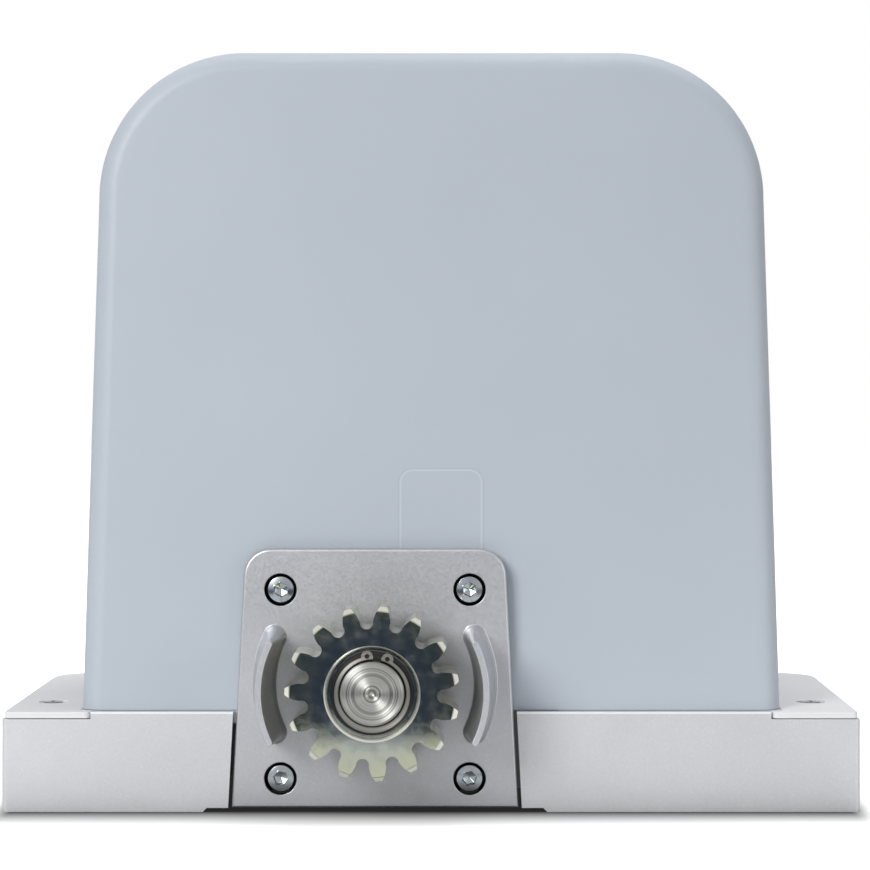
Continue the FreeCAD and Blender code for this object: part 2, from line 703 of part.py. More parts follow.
# ---------------------------------------------------------------------------------------------
# Ear caps and their screws
# ---------------------------------------------------------------------------------------------
def ear_cap(side, label):
    """A flat plastic cap over one bolt well, with a locating lip below and a screw recess."""
    body = new_body(label)
    low = size.base_height - size.cap_thickness
    prism(body, "Pad", "XY_Plane", low, size.base_height, lambda s: cap_outline(s, side, Size(0), Size(0)))
    far = end_x - size.cap_inset
    round_edges(body, size.rear_corner_round - size.cap_inset,
                lambda e: upright(e) and e.Vertexes[0].Y > 0 and abs(abs(e.Vertexes[0].X) - far) < 1e-3)
    round_edges(body, size.front_corner_round,
                lambda e: upright(e) and e.Vertexes[0].Y < 0 and abs(abs(e.Vertexes[0].X) - far) < 1e-3)
    round_edges(body, 2.5, lambda e: upright(e) and abs(abs(e.Vertexes[0].X) - cap_tab_x) < 1e-3
                and abs(e.Vertexes[0].Y) > ear_step_y + 2)
    lip_out = end_x - size.base_wall - size.loose_fit
    lip_in = ear_step_x + size.well_wall + size.loose_fit
    lip_y = rear_y - size.base_wall - size.loose_fit

    def lip(sketch):
        rectangle(sketch, *sorted_pair(side, lip_in, lip_out, -lip_y, 2 - lip_y))
        rectangle(sketch, *sorted_pair(side, lip_in, lip_in + 4, lip_y - 2, lip_y))
    prism(body, "Pad", "XY_Plane", low - 6, low, lip)
    prism(body, "Pocket", "XY_Plane", size.base_height - 1.2, size.base_height,
          lambda s: circle(s, side * cap_x, size.cap_screw_y, size.cap_recess_radius))
    prism(body, "Pocket", "XY_Plane", low - 1, size.base_height,
          lambda s: circle(s, side * cap_x, size.cap_screw_y, size.cap_screw_radius + 0.1))
    return keep(body, label)


def ear_cap_screws():
    """One pan-head screw in each ear cap."""
    body = new_body("EarCapScrews")
    head_low = size.base_height - 1.2

    def at_both(radius):
        return lambda s: [circle(s, side * cap_x, size.cap_screw_y, radius) for side in (-1, 1)]
    prism(body, "Pad", "XY_Plane", head_low, head_low + 1.4, at_both(4))
    prism(body, "Pad", "XY_Plane", head_low - 10, head_low, at_both(2))

    def cross(sketch):
        for side in (-1, 1):
            x = side * cap_x
            y = size.cap_screw_y
            arm = Size(2.6)
            half = Size(0.5)
            polygon(sketch, [(x - arm, y - half), (x - half, y - half), (x - half, y - arm),
                             (x + half, y - arm), (x + half, y - half), (x + arm, y - half),
                             (x + arm, y + half), (x + half, y + half), (x + half, y + arm),
                             (x - half, y + arm), (x - half, y + half), (x - arm, y + half)])
    prism(body, "Pocket", "XY_Plane", head_low + 0.2, head_low + 2, cross)
    return keep(body, "ear_cap_screws")


# ---------------------------------------------------------------------------------------------
# Cover
# ---------------------------------------------------------------------------------------------
def cover():
    """A drafted hood with big shoulders, open below, that drops over the gearbox and motor."""
    body = new_body("Cover")
    half_x = size.cover_width / 2
    half_y = size.cover_depth / 2
    foot = size.base_height + size.cover_seat_gap
    hood = prism(body, "Pad", "XY_Plane", foot, size.cover_top,
                 lambda s: rectangle(s, -half_x, -half_y, half_x, half_y))
    bind(hood, "TaperAngle", -size.cover_draft)

    def at_shoulder(edge):
        low, high = sorted(vertex.Z for vertex in (edge.Vertexes[0], edge.Vertexes[-1]))
        return abs(low - size.cover_top) < 1e-3 and edge.BoundBox.YLength > 10 and edge.BoundBox.XLength < 1

    def round_the_front(edge):
        box = edge.BoundBox
        return box.YLength < 12 and box.XLength + box.ZLength > 15 and box.ZMax > foot + 1
    round_edges(body, size.cover_shoulder, at_shoulder)
    round_edges(body, size.cover_edge_round, round_the_front)
    doc.recompute()
    hood = body.Tip
    open_face = next(index for index, face in enumerate(hood.Shape.Faces, 1)
                     if abs(face.CenterOfMass.z - foot) < 1e-3 and face.Surface.TypeId == "Part::GeomPlane")
    shell = body.newObject("PartDesign::Thickness", "Wall")
    shell.Base = (hood, [f"Face{open_face}"])
    bind(shell, "Value", size.cover_wall)
    shell.Reversed = True
    prism(body, "Pocket", "XZ_Plane", front_y, -half_y / 2,
          lambda s: plate_outline(s, foot - 1, size.plate_top - size.neck_inset + size.neck_gap,
                                  size.neck_inset - size.neck_gap))
    notch = size.cover_screw_radius + 0.5
    slot_top = size.base_height + size.cover_screw_rise + notch

    def screw_notch(sketch):
        rectangle(sketch, -notch, foot - 1, notch, slot_top)
    prism(body, "Pocket", "YZ_Plane", -half_x - 1, half_x + 1, screw_notch)
    knock_out_field(body, foot, half_y)
    return keep(body, "cover")


def knock_out_field(body, foot, half_y):
    """A shallow field in the leaning front face, round-cornered at its top."""
    sketch = sketch_on(body, "XZ_Plane", half_y)
    bind(sketch, "AttachmentOffset.Base.y", foot)
    sketch.AttachmentOffset = FreeCAD.Placement(Vector(0, float(foot), float(half_y)),
                                                Rotation(Vector(1, 0, 0), -float(size.cover_draft)))
    bind(sketch, "AttachmentOffset.Rotation.Angle", -size.cover_draft)
    top = (size.panel_top - foot) / cosine(size.cover_draft)
    rectangle(sketch, size.panel_left, -1, size.panel_right, top)
    field = body.newObject("PartDesign::Pocket", "Field")
    field.Profile = sketch
    bind(field, "Length", size.panel_depth)
    round_edges(body, 5, lambda e: abs(e.Length - size.panel_depth) < 0.02
                and e.BoundBox.ZMin > size.panel_top - 1 and e.BoundBox.ZMax < size.panel_top + 1)


def cover_screws():
    """A screw through the notch in each end of the cover, into the posts of the base."""
    body = new_body("CoverScrews")
    outer = size.cover_width / 2
    z = size.base_height + size.cover_screw_rise
    shank_reach = size.cover_wall + size.post_size
    for side in (-1, 1):
        for radius, near, far in ((size.cover_screw_radius - 0.05, outer - shank_reach, outer + 0.3),
                                  (size.cover_screw_radius * 2, outer + 0.05, outer + 3.3)):
            low, high = (near, far) if side > 0 else (-far, -near)
            prism(body, "Pad", "YZ_Plane", low, high, lambda s: circle(s, 0, z, radius))
    for side in (-1, 1):
        low, high = (outer + 2, outer + 5) if side > 0 else (-outer - 5, -outer - 2)
        prism(body, "Pocket", "YZ_Plane", low, high, lambda s: rectangle(s, -4, z - 0.6, 4, z + 0.6))
    return keep(body, "cover_screws")


# ---------------------------------------------------------------------------------------------
# Gearbox
# ---------------------------------------------------------------------------------------------
def guard_rib(side, name):
    """A drafted cast rib beside the pinion: an arc about the output shaft that tapers from a flared root."""
    flare_y = front_y - size.guard_flare_height
    tip_y = front_y - size.guard_reach
    middle = float(size.guard_radius)
    spread = float(size.guard_spread)
    levels = [(float(front_y) + 0.5, float(size.guard_foot) / 2 + float(size.guard_flare)),
              (float(flare_y), float(size.guard_foot) / 2), (float(tip_y), float(size.guard_tip) / 2)]

    def end_point(turn, y):
        return Vector(side * middle * math.cos(turn), y, middle * math.sin(turn))
    section = [Vector(side * (middle - half), y, 0) for y, half in levels]
    section += [Vector(side * (middle + half), y, 0) for y, half in reversed(levels)]
    profile = Part.Face(Part.makePolygon([*section, section[0]]))
    profile.rotate(Vector(), Vector(0, 1, 0), -spread)
    strip = profile.revolve(Vector(), Vector(0, 1, 0), 2 * spread)
    turns = (-math.radians(spread), math.radians(spread))
    ends = [Part.makeCone(foot, tip, low - high, end_point(turn, low), Vector(0, -1, 0))
            for turn in turns for (low, foot), (high, tip) in zip(levels, levels[1:])]
    rib = doc.addObject("Part::Feature", name)
    rib.Shape = strip.multiFuse(ends)
    return place(rib, size.shaft_x, 0, size.shaft_z)


def gearbox_front_plate():
    """Cast plate with the guard ribs, the seal seat and the front bearing seat."""
    body = new_body("FrontPlate")
    x, z = size.shaft_x, size.shaft_z
    neck_top = size.plate_top - size.neck_inset
    prism(body, "Pad", "XZ_Plane", front_y, plate_lip_y,
          lambda s: plate_outline(s, plate_low, size.plate_top))
    round_edges(body, size.plate_corner_round,
                lambda e: along_y(e) and abs(e.Vertexes[0].Z - size.plate_top) < 1e-3)
    round_edges(body, 0.7, lambda e: e.BoundBox.YMax < front_y + 1e-3, "Chamfer")
    prism(body, "Pad", "XZ_Plane", plate_lip_y, plate_rear_y,
          lambda s: plate_outline(s, size.body_floor, neck_top, size.neck_inset))
    prism(body, "Pad", "XZ_Plane", plate_rear_y, front_bearing_rear_y,
          lambda s: circle(s, x, z, size.cavity_radius - 0.05))
    seal_rear_y = front_y + size.seal_width
    prism(body, "Pocket", "XZ_Plane", front_y - 1, seal_rear_y,
          lambda s: circle(s, x, z, size.seal_radius))
    prism(body, "Pocket", "XZ_Plane", seal_rear_y, front_bearing_y,
          lambda s: circle(s, x, z, size.shaft_radius + 2.5))
    prism(body, "Pocket", "XZ_Plane", front_bearing_y, front_bearing_rear_y,
          lambda s: circle(s, x, z, size.bearing_radius))
    places = corner_places(x, z, size.plate_screw_spacing)
    prism(body, "Pocket", "XZ_Plane", front_y - 1, front_y + size.plate_counterbore_depth,
          lambda s: [circle(s, *place_xz, size.plate_counterbore_radius) for place_xz in places])
    prism(body, "Pocket", "XZ_Plane", front_y, plate_rear_y,
          lambda s: [circle(s, *place_xz, size.plate_screw_radius + 0.3) for place_xz in places])
    plate = combined("MultiFuse", "FrontPlateWithGuards", body, guard_rib(-1, "LeftGuard"),
                     guard_rib(1, "RightGuard"))
    return keep(plate, "gearbox_front_plate")


def hexagon(sketch, x, y, across_flats):
    """A hexagon with flats up and down."""
    corner = across_flats / 2 / math.cos(math.pi / 6)
    polygon(sketch, [(x + corner * math.cos(math.pi / 3 * turn), y + corner * math.sin(math.pi / 3 * turn))
                     for turn in range(6)])


def plate_screws():
    """Four socket head cap screws in the counterbores of the front plate."""
    body = new_body("PlateScrews")
    places = corner_places(size.shaft_x, size.shaft_z, size.plate_screw_spacing)
    seat = front_y + size.plate_counterbore_depth
    head = 2 * size.plate_screw_radius
    prism(body, "Pad", "XZ_Plane", seat - head, seat,
          lambda s: [circle(s, *at, size.plate_screw_radius * 5 / 3) for at in places])
    prism(body, "Pocket", "XZ_Plane", seat - head, seat - head / 2,
          lambda s: [hexagon(s, *at, size.plate_screw_radius * 5 / 3) for at in places])
    prism(body, "Pad", "XZ_Plane", seat, seat + 19,
          lambda s: [circle(s, *at, size.plate_screw_radius) for at in places])
    return keep(body, "plate_screws")


def front_gasket():
    """Flat gasket between the front plate and the gearbox body."""
    body = new_body("FrontGasket")
    prism(body, "Pad", "XZ_Plane", plate_rear_y, body_front_y,
          lambda s: plate_outline(s, size.body_floor, size.plate_top - size.neck_inset, size.neck_inset))
    prism(body, "Pocket", "XZ_Plane", plate_rear_y, body_front_y,
          lambda s: circle(s, size.shaft_x, size.shaft_z, size.cavity_radius))
    places = corner_places(size.shaft_x, size.shaft_z, size.plate_screw_spacing)
    prism(body, "Pocket", "XZ_Plane", plate_rear_y, body_front_y,
          lambda s: [circle(s, *at, size.plate_screw_radius + 0.3) for at in places])
    return keep(body, "front_gasket")


def foot_places():
    """The four screws that hold the gearbox feet down on the deck."""
    out = size.foot_width - 8
    inset = size.foot_screw_inset
    return [(x, y) for x in (body_left_x - out, body_right_x + out)
            for y in (size.foot_front_y + inset, size.foot_rear_y - inset)]


def motor_screw_places():
    """Four screws of the motor flange, on a square inside its rim."""
    reach = (size.motor_flange_radius + size.motor_radius) / 2 * math.sqrt(0.5)
    return [(worm_x + side * reach, size.wheel_y + end * reach) for side in (-1, 1) for end in (-1, 1)]


def rear_screw_places():
    """Four screws in the corners of the gearbox rear cover."""
    out = size.body_left - 8
    up = rear_cover_top - 6.6 - size.shaft_z
    return [(size.shaft_x + side * out, size.shaft_z + high * up) for side in (-1, 1) for high in (-1, 1)]


def gearbox_body():
    """Cast housing: one bore for the wheel, one upright bore for the worm, feet and a motor seat."""
    body = new_body("GearboxBody")
    prism(body, "Pad", "XZ_Plane", body_front_y, size.body_rear_y,
          lambda s: rectangle(s, body_left_x, size.body_floor, body_right_x, size.body_top - 6))
    round_edges(body, 6, lambda e: along_y(e) and e.Vertexes[0].Z > size.shaft_z)
    foot_low = size.base_height
    prism(body, "Pad", "XY_Plane", foot_low, foot_low + size.foot_height,
          lambda s: rectangle(s, body_left_x - size.foot_width, size.foot_front_y,
                              body_right_x + size.foot_width, size.foot_rear_y))
    prism(body, "Pad", "XY_Plane", size.body_top - 12, size.body_top,
          lambda s: circle(s, worm_x, size.wheel_y, size.motor_flange_radius))
    prism(body, "Pocket", "XZ_Plane", body_front_y, size.body_rear_y,
          lambda s: circle(s, size.shaft_x, size.shaft_z, size.cavity_radius))
    prism(body, "Pocket", "XY_Plane", worm_bearing_low, size.body_top,
          lambda s: circle(s, worm_x, size.wheel_y, size.tunnel_radius))
    places = corner_places(size.shaft_x, size.shaft_z, size.plate_screw_spacing)
    prism(body, "Pocket", "XZ_Plane", body_front_y, body_front_y + 16,
          lambda s: [circle(s, *at, size.plate_screw_radius) for at in places])
    prism(body, "Pocket", "XZ_Plane", size.body_rear_y - 12, size.body_rear_y,
          lambda s: [circle(s, *at, size.small_screw_radius) for at in rear_screw_places()])
    prism(body, "Pocket", "XY_Plane", foot_low, foot_low + size.foot_height,
          lambda s: [circle(s, *at, size.foot_screw_radius + 0.2) for at in foot_places()])
    prism(body, "Pocket", "XY_Plane", size.body_top - 10, size.body_top,
          lambda s: [circle(s, *at, 3) for at in motor_screw_places()])
    return keep(body, "gearbox_body")


def gearbox_foot_screws():
    """Hexagon head screws through the feet into the deck."""
    body = new_body("FootScrews")
    top = size.base_height + size.foot_height
    radius = size.foot_screw_radius
    prism(body, "Pad", "XY_Plane", top, top + radius * 4 / 3,
          lambda s: [hexagon(s, *at, radius * 13 / 4) for at in foot_places()])
    prism(body, "Pad", "XY_Plane", size.base_height + 0.2, top,
          lambda s: [circle(s, *at, radius) for at in foot_places()])
    return keep(body, "gearbox_foot_screws")


def gearbox_rear_cover():
    """Closes the gearbox and seats the rear bearing; the release rod comes out of its middle."""
    body = new_body("RearCover")
    x, z = size.shaft_x, size.shaft_z
    half = size.body_left
    back = rear_cover_back_y
    prism(body, "Pad", "XZ_Plane", size.body_rear_y, back,
          lambda s: rectangle(s, x - half, size.body_floor, x + half, rear_cover_top))
    round_edges(body, 6, lambda e: along_y(e) and e.Vertexes[0].Z > z)
    prism(body, "Pad", "XZ_Plane", size.rear_bearing_y - 2, size.body_rear_y,
          lambda s: circle(s, x, z, size.cavity_radius - 0.05))
    prism(body, "Pocket", "XZ_Plane", size.rear_bearing_y - 2, rear_bearing_rear_y,
          lambda s: circle(s, x, z, size.bearing_radius))
    prism(body, "Pocket", "XZ_Plane", rear_bearing_rear_y, back,
          lambda s: circle(s, x, z, size.shaft_bore_radius + 0.1))
    prism(body, "Pocket", "XZ_Plane", size.body_rear_y, back,
          lambda s: [circle(s, *at, size.small_screw_radius + 0.1) for at in rear_screw_places()])
    return keep(body, "gearbox_rear_cover")


def rear_cover_screws():
    """Socket head screws of the rear cover."""
    body = new_body("RearCoverScrews")
    back = rear_cover_back_y
    radius = size.small_screw_radius
    places = rear_screw_places()
    prism(body, "Pad", "XZ_Plane", back, back + 2 * radius,
          lambda s: [circle(s, *at, radius * 1.7) for at in places])
    prism(body, "Pocket", "XZ_Plane", back + radius, back + 2 * radius,
          lambda s: [hexagon(s, *at, radius * 1.6) for at in places])
    prism(body, "Pad", "XZ_Plane", back - 16, back, lambda s: [circle(s, *at, radius) for at in places])
    return keep(body, "rear_cover_screws")


def shaft_oil_seal():
    """Rubber lip seal round the shaft, let into the front plate."""
    low = front_y
    high = low + size.seal_width
    inner = size.shaft_radius + size.running_fit
    body = new_body("OilSeal", size.shaft_x, 0, size.shaft_z)
    turned(body, "Y", [(low + 0.6, size.seal_radius), (low + 0.6, inner + 3.4), (low + 2.4, inner + 2.2),
                       (low + 1, inner), (high - 1, inner), (high, inner + 1.5), (high, size.seal_radius)])
    return keep(body, "shaft_oil_seal")


def bearing_set(name, axis, x, y, z, places, bore, outer, width, labels):
    """Sealed ball bearings of one size: outer rings, solid as far as the seals reach, and inner rings."""
    wall = (outer - bore) * 0.3
    for label, near, far in zip(labels, (bore + wall + 0.3, bore), (outer, bore + wall)):
        body = new_body(f"{name}{'Outer' if far is outer else 'Inner'}", x, y, z)
        for low in places:
            corners = [(low, near), (low + width, near), (low + width, far), (low, far)]
            if axis == "Z":
                corners = [(radius, up) for up, radius in corners]
            turned(body, axis, corners)
        keep(body, label)


# ---------------------------------------------------------------------------------------------
# Gear teeth
# ---------------------------------------------------------------------------------------------
def tooth_wire(module, teeth, tip_gap, play, y, turn, pressure=20):
    """Outline of an involute spur gear in a plane across Y, about the Y axis. Angles run from +X towards -Z.

    The tooth's half angle at radius r is that at the pitch circle plus the involute of the pressure angle
    less the involute of acos(base / r). One arc through three points of it makes a flank, and another the
    round root between two teeth.
    """
    pitch = module * teeth / 2
    base = pitch * math.cos(math.radians(pressure))
    tip = pitch + module
    root = pitch - module * (1 + tip_gap)

    def involute(radius):
        angle = math.acos(min(1.0, base / radius))
        return math.tan(angle) - angle
    half_at_pitch = math.pi / 2 / teeth - play / pitch

    def half_angle(radius):
        return half_at_pitch + involute(pitch) - involute(max(radius, base))

    def point(radius, angle):
        return Vector(radius * math.cos(angle), y, -radius * math.sin(angle))

    def arc(*places):
        return Part.Arc(*(point(*at) for at in places)).toShape()
    start = max(base, root + 0.3 * module)
    middle_radius = (start + 2 * tip) / 3
    step = 2 * math.pi / teeth
    edges = []
    for tooth in range(teeth):
        middle = math.radians(turn) + step * tooth
        foot, waist, crest = (half_angle(radius) for radius in (start, middle_radius, tip))
        edges += [
            arc((start, middle - foot), (middle_radius, middle - waist), (tip, middle - crest)),
            arc((tip, middle - crest), (tip, middle), (tip, middle + crest)),
            arc((tip, middle + crest), (middle_radius, middle + waist), (start, middle + foot)),
            arc((start, middle + foot), (root, middle + step / 2), (start, middle + step - foot)),
        ]
    return Part.Wire(edges)


def drive_pinion():
    """The spur pinion that drives the rack: involute teeth on a turned blank with a recessed face."""
    teeth = doc.addObject("Part::Feature", "PinionTeeth")
    turn = float(size.pinion_turn) - 90
    outline = tooth_wire(float(size.pinion_module), int(size.pinion_teeth), float(size.tooth_tip_gap), 0,
                         float(pinion_front_y), turn)
    teeth.Shape = Part.Face(outline).extrude(Vector(0, float(size.pinion_width), 0))
    place(teeth, size.shaft_x, 0, size.shaft_z)
    blank = new_body("PinionBlank", size.shaft_x, 0, size.shaft_z)
    chamfer = size.pinion_tip_chamfer
    recess = size.pinion_recess_radius
    bore = size.shaft_end_radius + 0.02
    turned(blank, "Y", [(pinion_front_y, recess + size.pinion_recess_chamfer),
                        (pinion_front_y + size.pinion_recess_chamfer, recess), (recess_floor_y, recess),
                        (recess_floor_y, bore), (pinion_rear_y, bore), (pinion_rear_y, pinion_tip - chamfer),
                        (pinion_rear_y - chamfer, pinion_tip + 0.5),
                        (pinion_front_y + chamfer, pinion_tip + 0.5),
                        (pinion_front_y, pinion_tip - chamfer)])
    toothed = combined("MultiCommon", "ToothedBlank", blank, teeth)
    keyway = primitive("Box", "PinionKeyway",
                       (size.shaft_x - size.key_width / 2, recess_floor_y,
                        size.shaft_z - size.shaft_end_radius - size.key_height + size.key_depth - 0.2),
                       Length=size.key_width, Width=pinion_rear_y - recess_floor_y,
                       Height=size.key_height)
    return keep(combined("Cut", "DrivePinion", toothed, keyway), "drive_pinion")


def worm_wheel():
    """Bronze wheel: involute teeth twisted to the worm's lead, on a hub with sockets for the clutch dogs."""
    lead = float(thread_pitch) / (2 * math.pi * float(size.worm_pitch_radius))
    half_width = float(size.wheel_width) / 2
    twist = math.degrees(lead * half_width / float(wheel_pitch))
    half_step = 180 / float(size.wheel_teeth)
    outlines = [tooth_wire(float(size.worm_module), int(size.wheel_teeth), float(size.tooth_tip_gap),
                           float(size.tooth_play), float(size.wheel_y) + side * half_width,
                           half_step + side * twist) for side in (-1, 1)]
    teeth = doc.addObject("Part::Feature", "WheelTeeth")
    teeth.Shape = Part.makeLoft(outlines, True, True)
    place(teeth, size.shaft_x, 0, size.shaft_z)
    blank = new_body("WheelBlank", size.shaft_x, 0, size.shaft_z)
    bore = size.shaft_radius + size.running_fit
    rim = size.wheel_width / 2
    turned(blank, "Y", [(hub_front_y, bore), (hub_rear_y, bore), (hub_rear_y, size.wheel_hub_radius),
                        (size.wheel_y + rim, size.wheel_hub_radius), (size.wheel_y + rim, 60),
                        (size.wheel_y - rim, 60), (size.wheel_y - rim, size.wheel_hub_radius),
                        (hub_front_y, size.wheel_hub_radius)])
    sleeve = ring("WheelHub", bore, size.wheel_hub_radius, hub_front_y, hub_rear_y,
                  size.shaft_x, 0, size.shaft_z)
    solid = combined("MultiFuse", "WheelSolid", combined("MultiCommon", "WheelRim", blank, teeth), sleeve)
    sockets = dog_blocks("DogSockets", hub_front_y - 1, hub_front_y + size.dog_height + size.loose_fit,
                         size.loose_fit)
    return keep(combined("Cut", "WormWheel", solid, sockets), "worm_wheel")


def dog_blocks(name, low, high, grow):
    """Four blocks across the shaft line, the shape of the clutch dogs, grown by a clearance."""
    body = new_body(name, size.shaft_x, 0, size.shaft_z)
    inner = size.shaft_radius + 3.5
    outer = size.clutch_radius

    def draw(sketch):
        half = 4.5 + grow
        rectangle(sketch, -half, inner - grow, half, outer + grow)
        rectangle(sketch, -half, -outer - grow, half, -inner + grow)
        rectangle(sketch, inner - grow, -half, outer + grow, half)
        rectangle(sketch, -outer - grow, -half, -inner + grow, half)
    prism(body, "Pad", "XZ_Plane", low, high, draw)
    return body


def worm_shaft():
    """Rotor spindle with the worm cut on its lower end."""
    body = new_body("WormShaft", worm_x, size.wheel_y, 0)
    core_low = worm_bearing_low + size.worm_bearing_width
    core_high = size.body_top - 4 - size.worm_bearing_width
    spindle_top = shell_top + size.worm_bearing_width
    turned(body, "Z", [(0, worm_bearing_low + 0.3), (size.spindle_radius, worm_bearing_low + 0.3),
                       (size.spindle_radius, core_low), (worm_root, core_low), (worm_root, core_high),
                       (size.spindle_radius, core_high), (size.spindle_radius, spindle_top),
                       (0, spindle_top)])
    slope = tangent(20)
    start = size.shaft_z - thread_pitch * 1.5
    at_pitch = thread_pitch / 4 - size.tooth_play
    sunk = worm_root - 0.4
    foot = at_pitch + (size.worm_pitch_radius - sunk) * slope
    crest = at_pitch - size.worm_module * slope
    sketch = sketch_on(body, "XZ_Plane")
    polygon(sketch, [(sunk, start - foot), (worm_tip, start - crest), (worm_tip, start + crest),
                     (sunk, start + foot)])
    thread = body.newObject("PartDesign::AdditiveHelix", "Thread")
    thread.Profile = sketch
    thread.ReferenceAxis = (sketch, ["V_Axis"])
    thread.Mode = 0
    bind(thread, "Pitch", thread_pitch)
    bind(thread, "Height", thread_pitch * size.worm_turns)
    return keep(body, "worm_shaft")


# ---------------------------------------------------------------------------------------------
# Output shaft line
# ---------------------------------------------------------------------------------------------
def output_shaft():
    """Stepped shaft with a circlip groove, a keyway, a bore for the rod and a slot for the cross pin."""
    body = new_body("OutputShaft", size.shaft_x, 0, size.shaft_z)
    end, journal = size.shaft_end_radius, size.shaft_radius
    groove = size.circlip_groove_radius
    groove_low = circlip_front_y - 0.05
    groove_high = circlip_front_y + size.circlip_thickness + 0.05
    collar = front_bearing_rear_y
    collar_rear = collar + size.shaft_collar_width
    rear = rear_bearing_rear_y - size.loose_fit
    turned(body, "Y", [(pinion_front_y + 1.9, 0), (pinion_front_y, 2.4), (pinion_front_y, end - 1),
                       (pinion_front_y + 1, end), (groove_low, end), (groove_low, groove),
                       (groove_high, groove), (groove_high, end), (pinion_rear_y, end),
                       (pinion_rear_y, journal), (collar, journal), (collar, journal + size.shaft_collar),
                       (collar_rear, journal + size.shaft_collar), (collar_rear, journal),
                       (rear, journal), (rear, 0)])
    bore_front = cross_pin_y - size.clutch_stroke - 8
    prism(body, "Pocket", "XZ_Plane", bore_front, rear, lambda s: circle(s, 0, 0, size.shaft_bore_radius))
    half_slot = size.cross_pin_radius + 0.1
    middle = cross_pin_y - size.clutch_stroke / 2
    prism(body, "Pocket", "XY_Plane", -journal - 1, journal + 1,
          lambda s: slot(s, 0, middle, size.clutch_stroke + 2 * half_slot + 1, half_slot))
    prism(body, "Pocket", "XY_Plane", -end - 1, size.key_depth - end,
          lambda s: rectangle(s, -size.key_width / 2, recess_floor_y, size.key_width / 2, pinion_rear_y))
    return keep(body, "output_shaft")


def pinion_key():
    """Parallel key between shaft and pinion."""
    low = size.shaft_z - size.shaft_end_radius - size.key_height + size.key_depth
    key = primitive("Box", "PinionKey", (size.shaft_x - size.key_width / 2 + 0.01, recess_floor_y + 0.2, low),
                    Length=size.key_width - 0.02, Width=pinion_rear_y - recess_floor_y - 0.4,
                    Height=size.key_height - 0.05)
    return keep(key, "pinion_key")


def retaining_washer():
    """Washer in the recess, under the circlip."""
    body = ring("Washer", size.shaft_end_radius + 0.15, size.washer_radius, washer_front_y, recess_floor_y,
                size.shaft_x, 0, size.shaft_z)
    return keep(body, "retaining_washer")


def pinion_circlip():
    """External circlip: an eccentric ring, open at the top between two drilled lugs."""
    x, z, y = size.shaft_x, size.shaft_z, circlip_front_y
    thick = size.circlip_thickness

    def disc(name, radius, dx=0, dz=0):
        return primitive("Cylinder", name, (x + dx, y, z + dz), TO_Y, Radius=radius, Height=thick)

    def block(name, dx, dz, width, height):
        return primitive("Box", name, (x + dx, y, z + dz), Length=width, Width=thick, Height=height)
    outer = disc("ClipOuter", size.shaft_end_radius + 2.3, 0, -0.5)
    inner = disc("ClipInner", size.circlip_groove_radius + 0.02)
    gap = block("ClipGap", -1.6, 0, 3.2, 18)
    lug_rise = size.circlip_groove_radius + 1.9
    lugs = [disc(f"ClipLug{side}", 2.3, side * 4, lug_rise) for side in (-1, 1)]
    holes = [disc(f"ClipHole{side}", 0.95, side * 4, lug_rise + 0.1) for side in (-1, 1)]
    clip = combined("Cut", "Circlip", combined("MultiFuse", "ClipRing", outer, *lugs), inner, gap, *holes)
    turned_clip = doc.addObject("Part::Feature", "CirclipTurned")
    doc.recompute()
    shape = clip.Shape.copy()
    shape.rotate(Vector(float(x), 0, float(z)), Vector(0, 1, 0), 8)
    turned_clip.Shape = shape
    return keep(turned_clip, "pinion_circlip")


def wheel_spacer():
    """Sleeve between the worm wheel and the rear bearing."""
    body = ring("WheelSpacer", size.shaft_radius + 0.02, size.shaft_radius + 4, hub_rear_y,
                size.rear_bearing_y, size.shaft_x, 0, size.shaft_z)
    return keep(body, "wheel_spacer")


def clutch_ring():
    """Sliding ring whose four dogs lock the worm wheel to the shaft."""
    bore = size.shaft_radius + size.running_fit
    body = ring("ClutchRingBody", bore, size.clutch_radius, clutch_front_y, clutch_rear_y,
                size.shaft_x, 0, size.shaft_z)
    prism(body, "Pocket", "XY_Plane", -size.clutch_radius - 1, size.clutch_radius + 1,
          lambda s: circle(s, 0, cross_pin_y, size.cross_pin_radius + 0.01))
    dogs = dog_blocks("ClutchDogs", clutch_rear_y - 0.5, clutch_rear_y + size.dog_height, 0)
    return keep(combined("MultiFuse", "ClutchRing", body, dogs), "clutch_ring")


def clutch_cross_pin():
    """Pin through ring, shaft slot and rod."""
    reach = size.clutch_radius - 0.5
    pin = primitive("Cylinder", "CrossPin", (size.shaft_x, cross_pin_y, size.shaft_z - reach),
                    Radius=size.cross_pin_radius, Height=2 * reach)
    return keep(pin, "clutch_cross_pin")


def clutch_springs():
    """Disc springs, in pairs that lean against each other, that hold the clutch engaged."""
    body = new_body("ClutchSprings", size.shaft_x, 0, size.shaft_z)
    start = front_bearing_rear_y + 2 + 0.1
    count = 4
    pitch = (clutch_front_y - 0.1 - start) / count
    inner, outer = size.shaft_radius + 0.6, size.shaft_radius + 8
    thick = Size(1.8)
    for disc in range(count):
        low = start + pitch * disc
        high = low + pitch - 0.02
        near, far = (low, high - thick) if disc % 2 == 0 else (high - thick, low)
        turned(body, "Y", [(near, inner), (near + thick, inner), (far + thick, outer), (far, outer)])
    return keep(body, "clutch_disc_springs")


def release_rod():
    """Rod in the shaft bore that the release cam pushes towards the gate."""
    body = new_body("ReleaseRod", size.shaft_x, 0, size.shaft_z)
    radius = size.shaft_bore_radius - size.running_fit
    head_low = rod_end_y - 4
    turned(body, "Y", [(cross_pin_y - 6.5, 0), (cross_pin_y - 6.5, radius), (head_low, radius),
                       (head_low, size.rod_head_radius), (rod_end_y, size.rod_head_radius), (rod_end_y, 0)])
    prism(body, "Pocket", "XY_Plane", -radius - 1, radius + 1,
          lambda s: circle(s, 0, cross_pin_y, size.cross_pin_radius + 0.01))
    return keep(body, "release_rod")


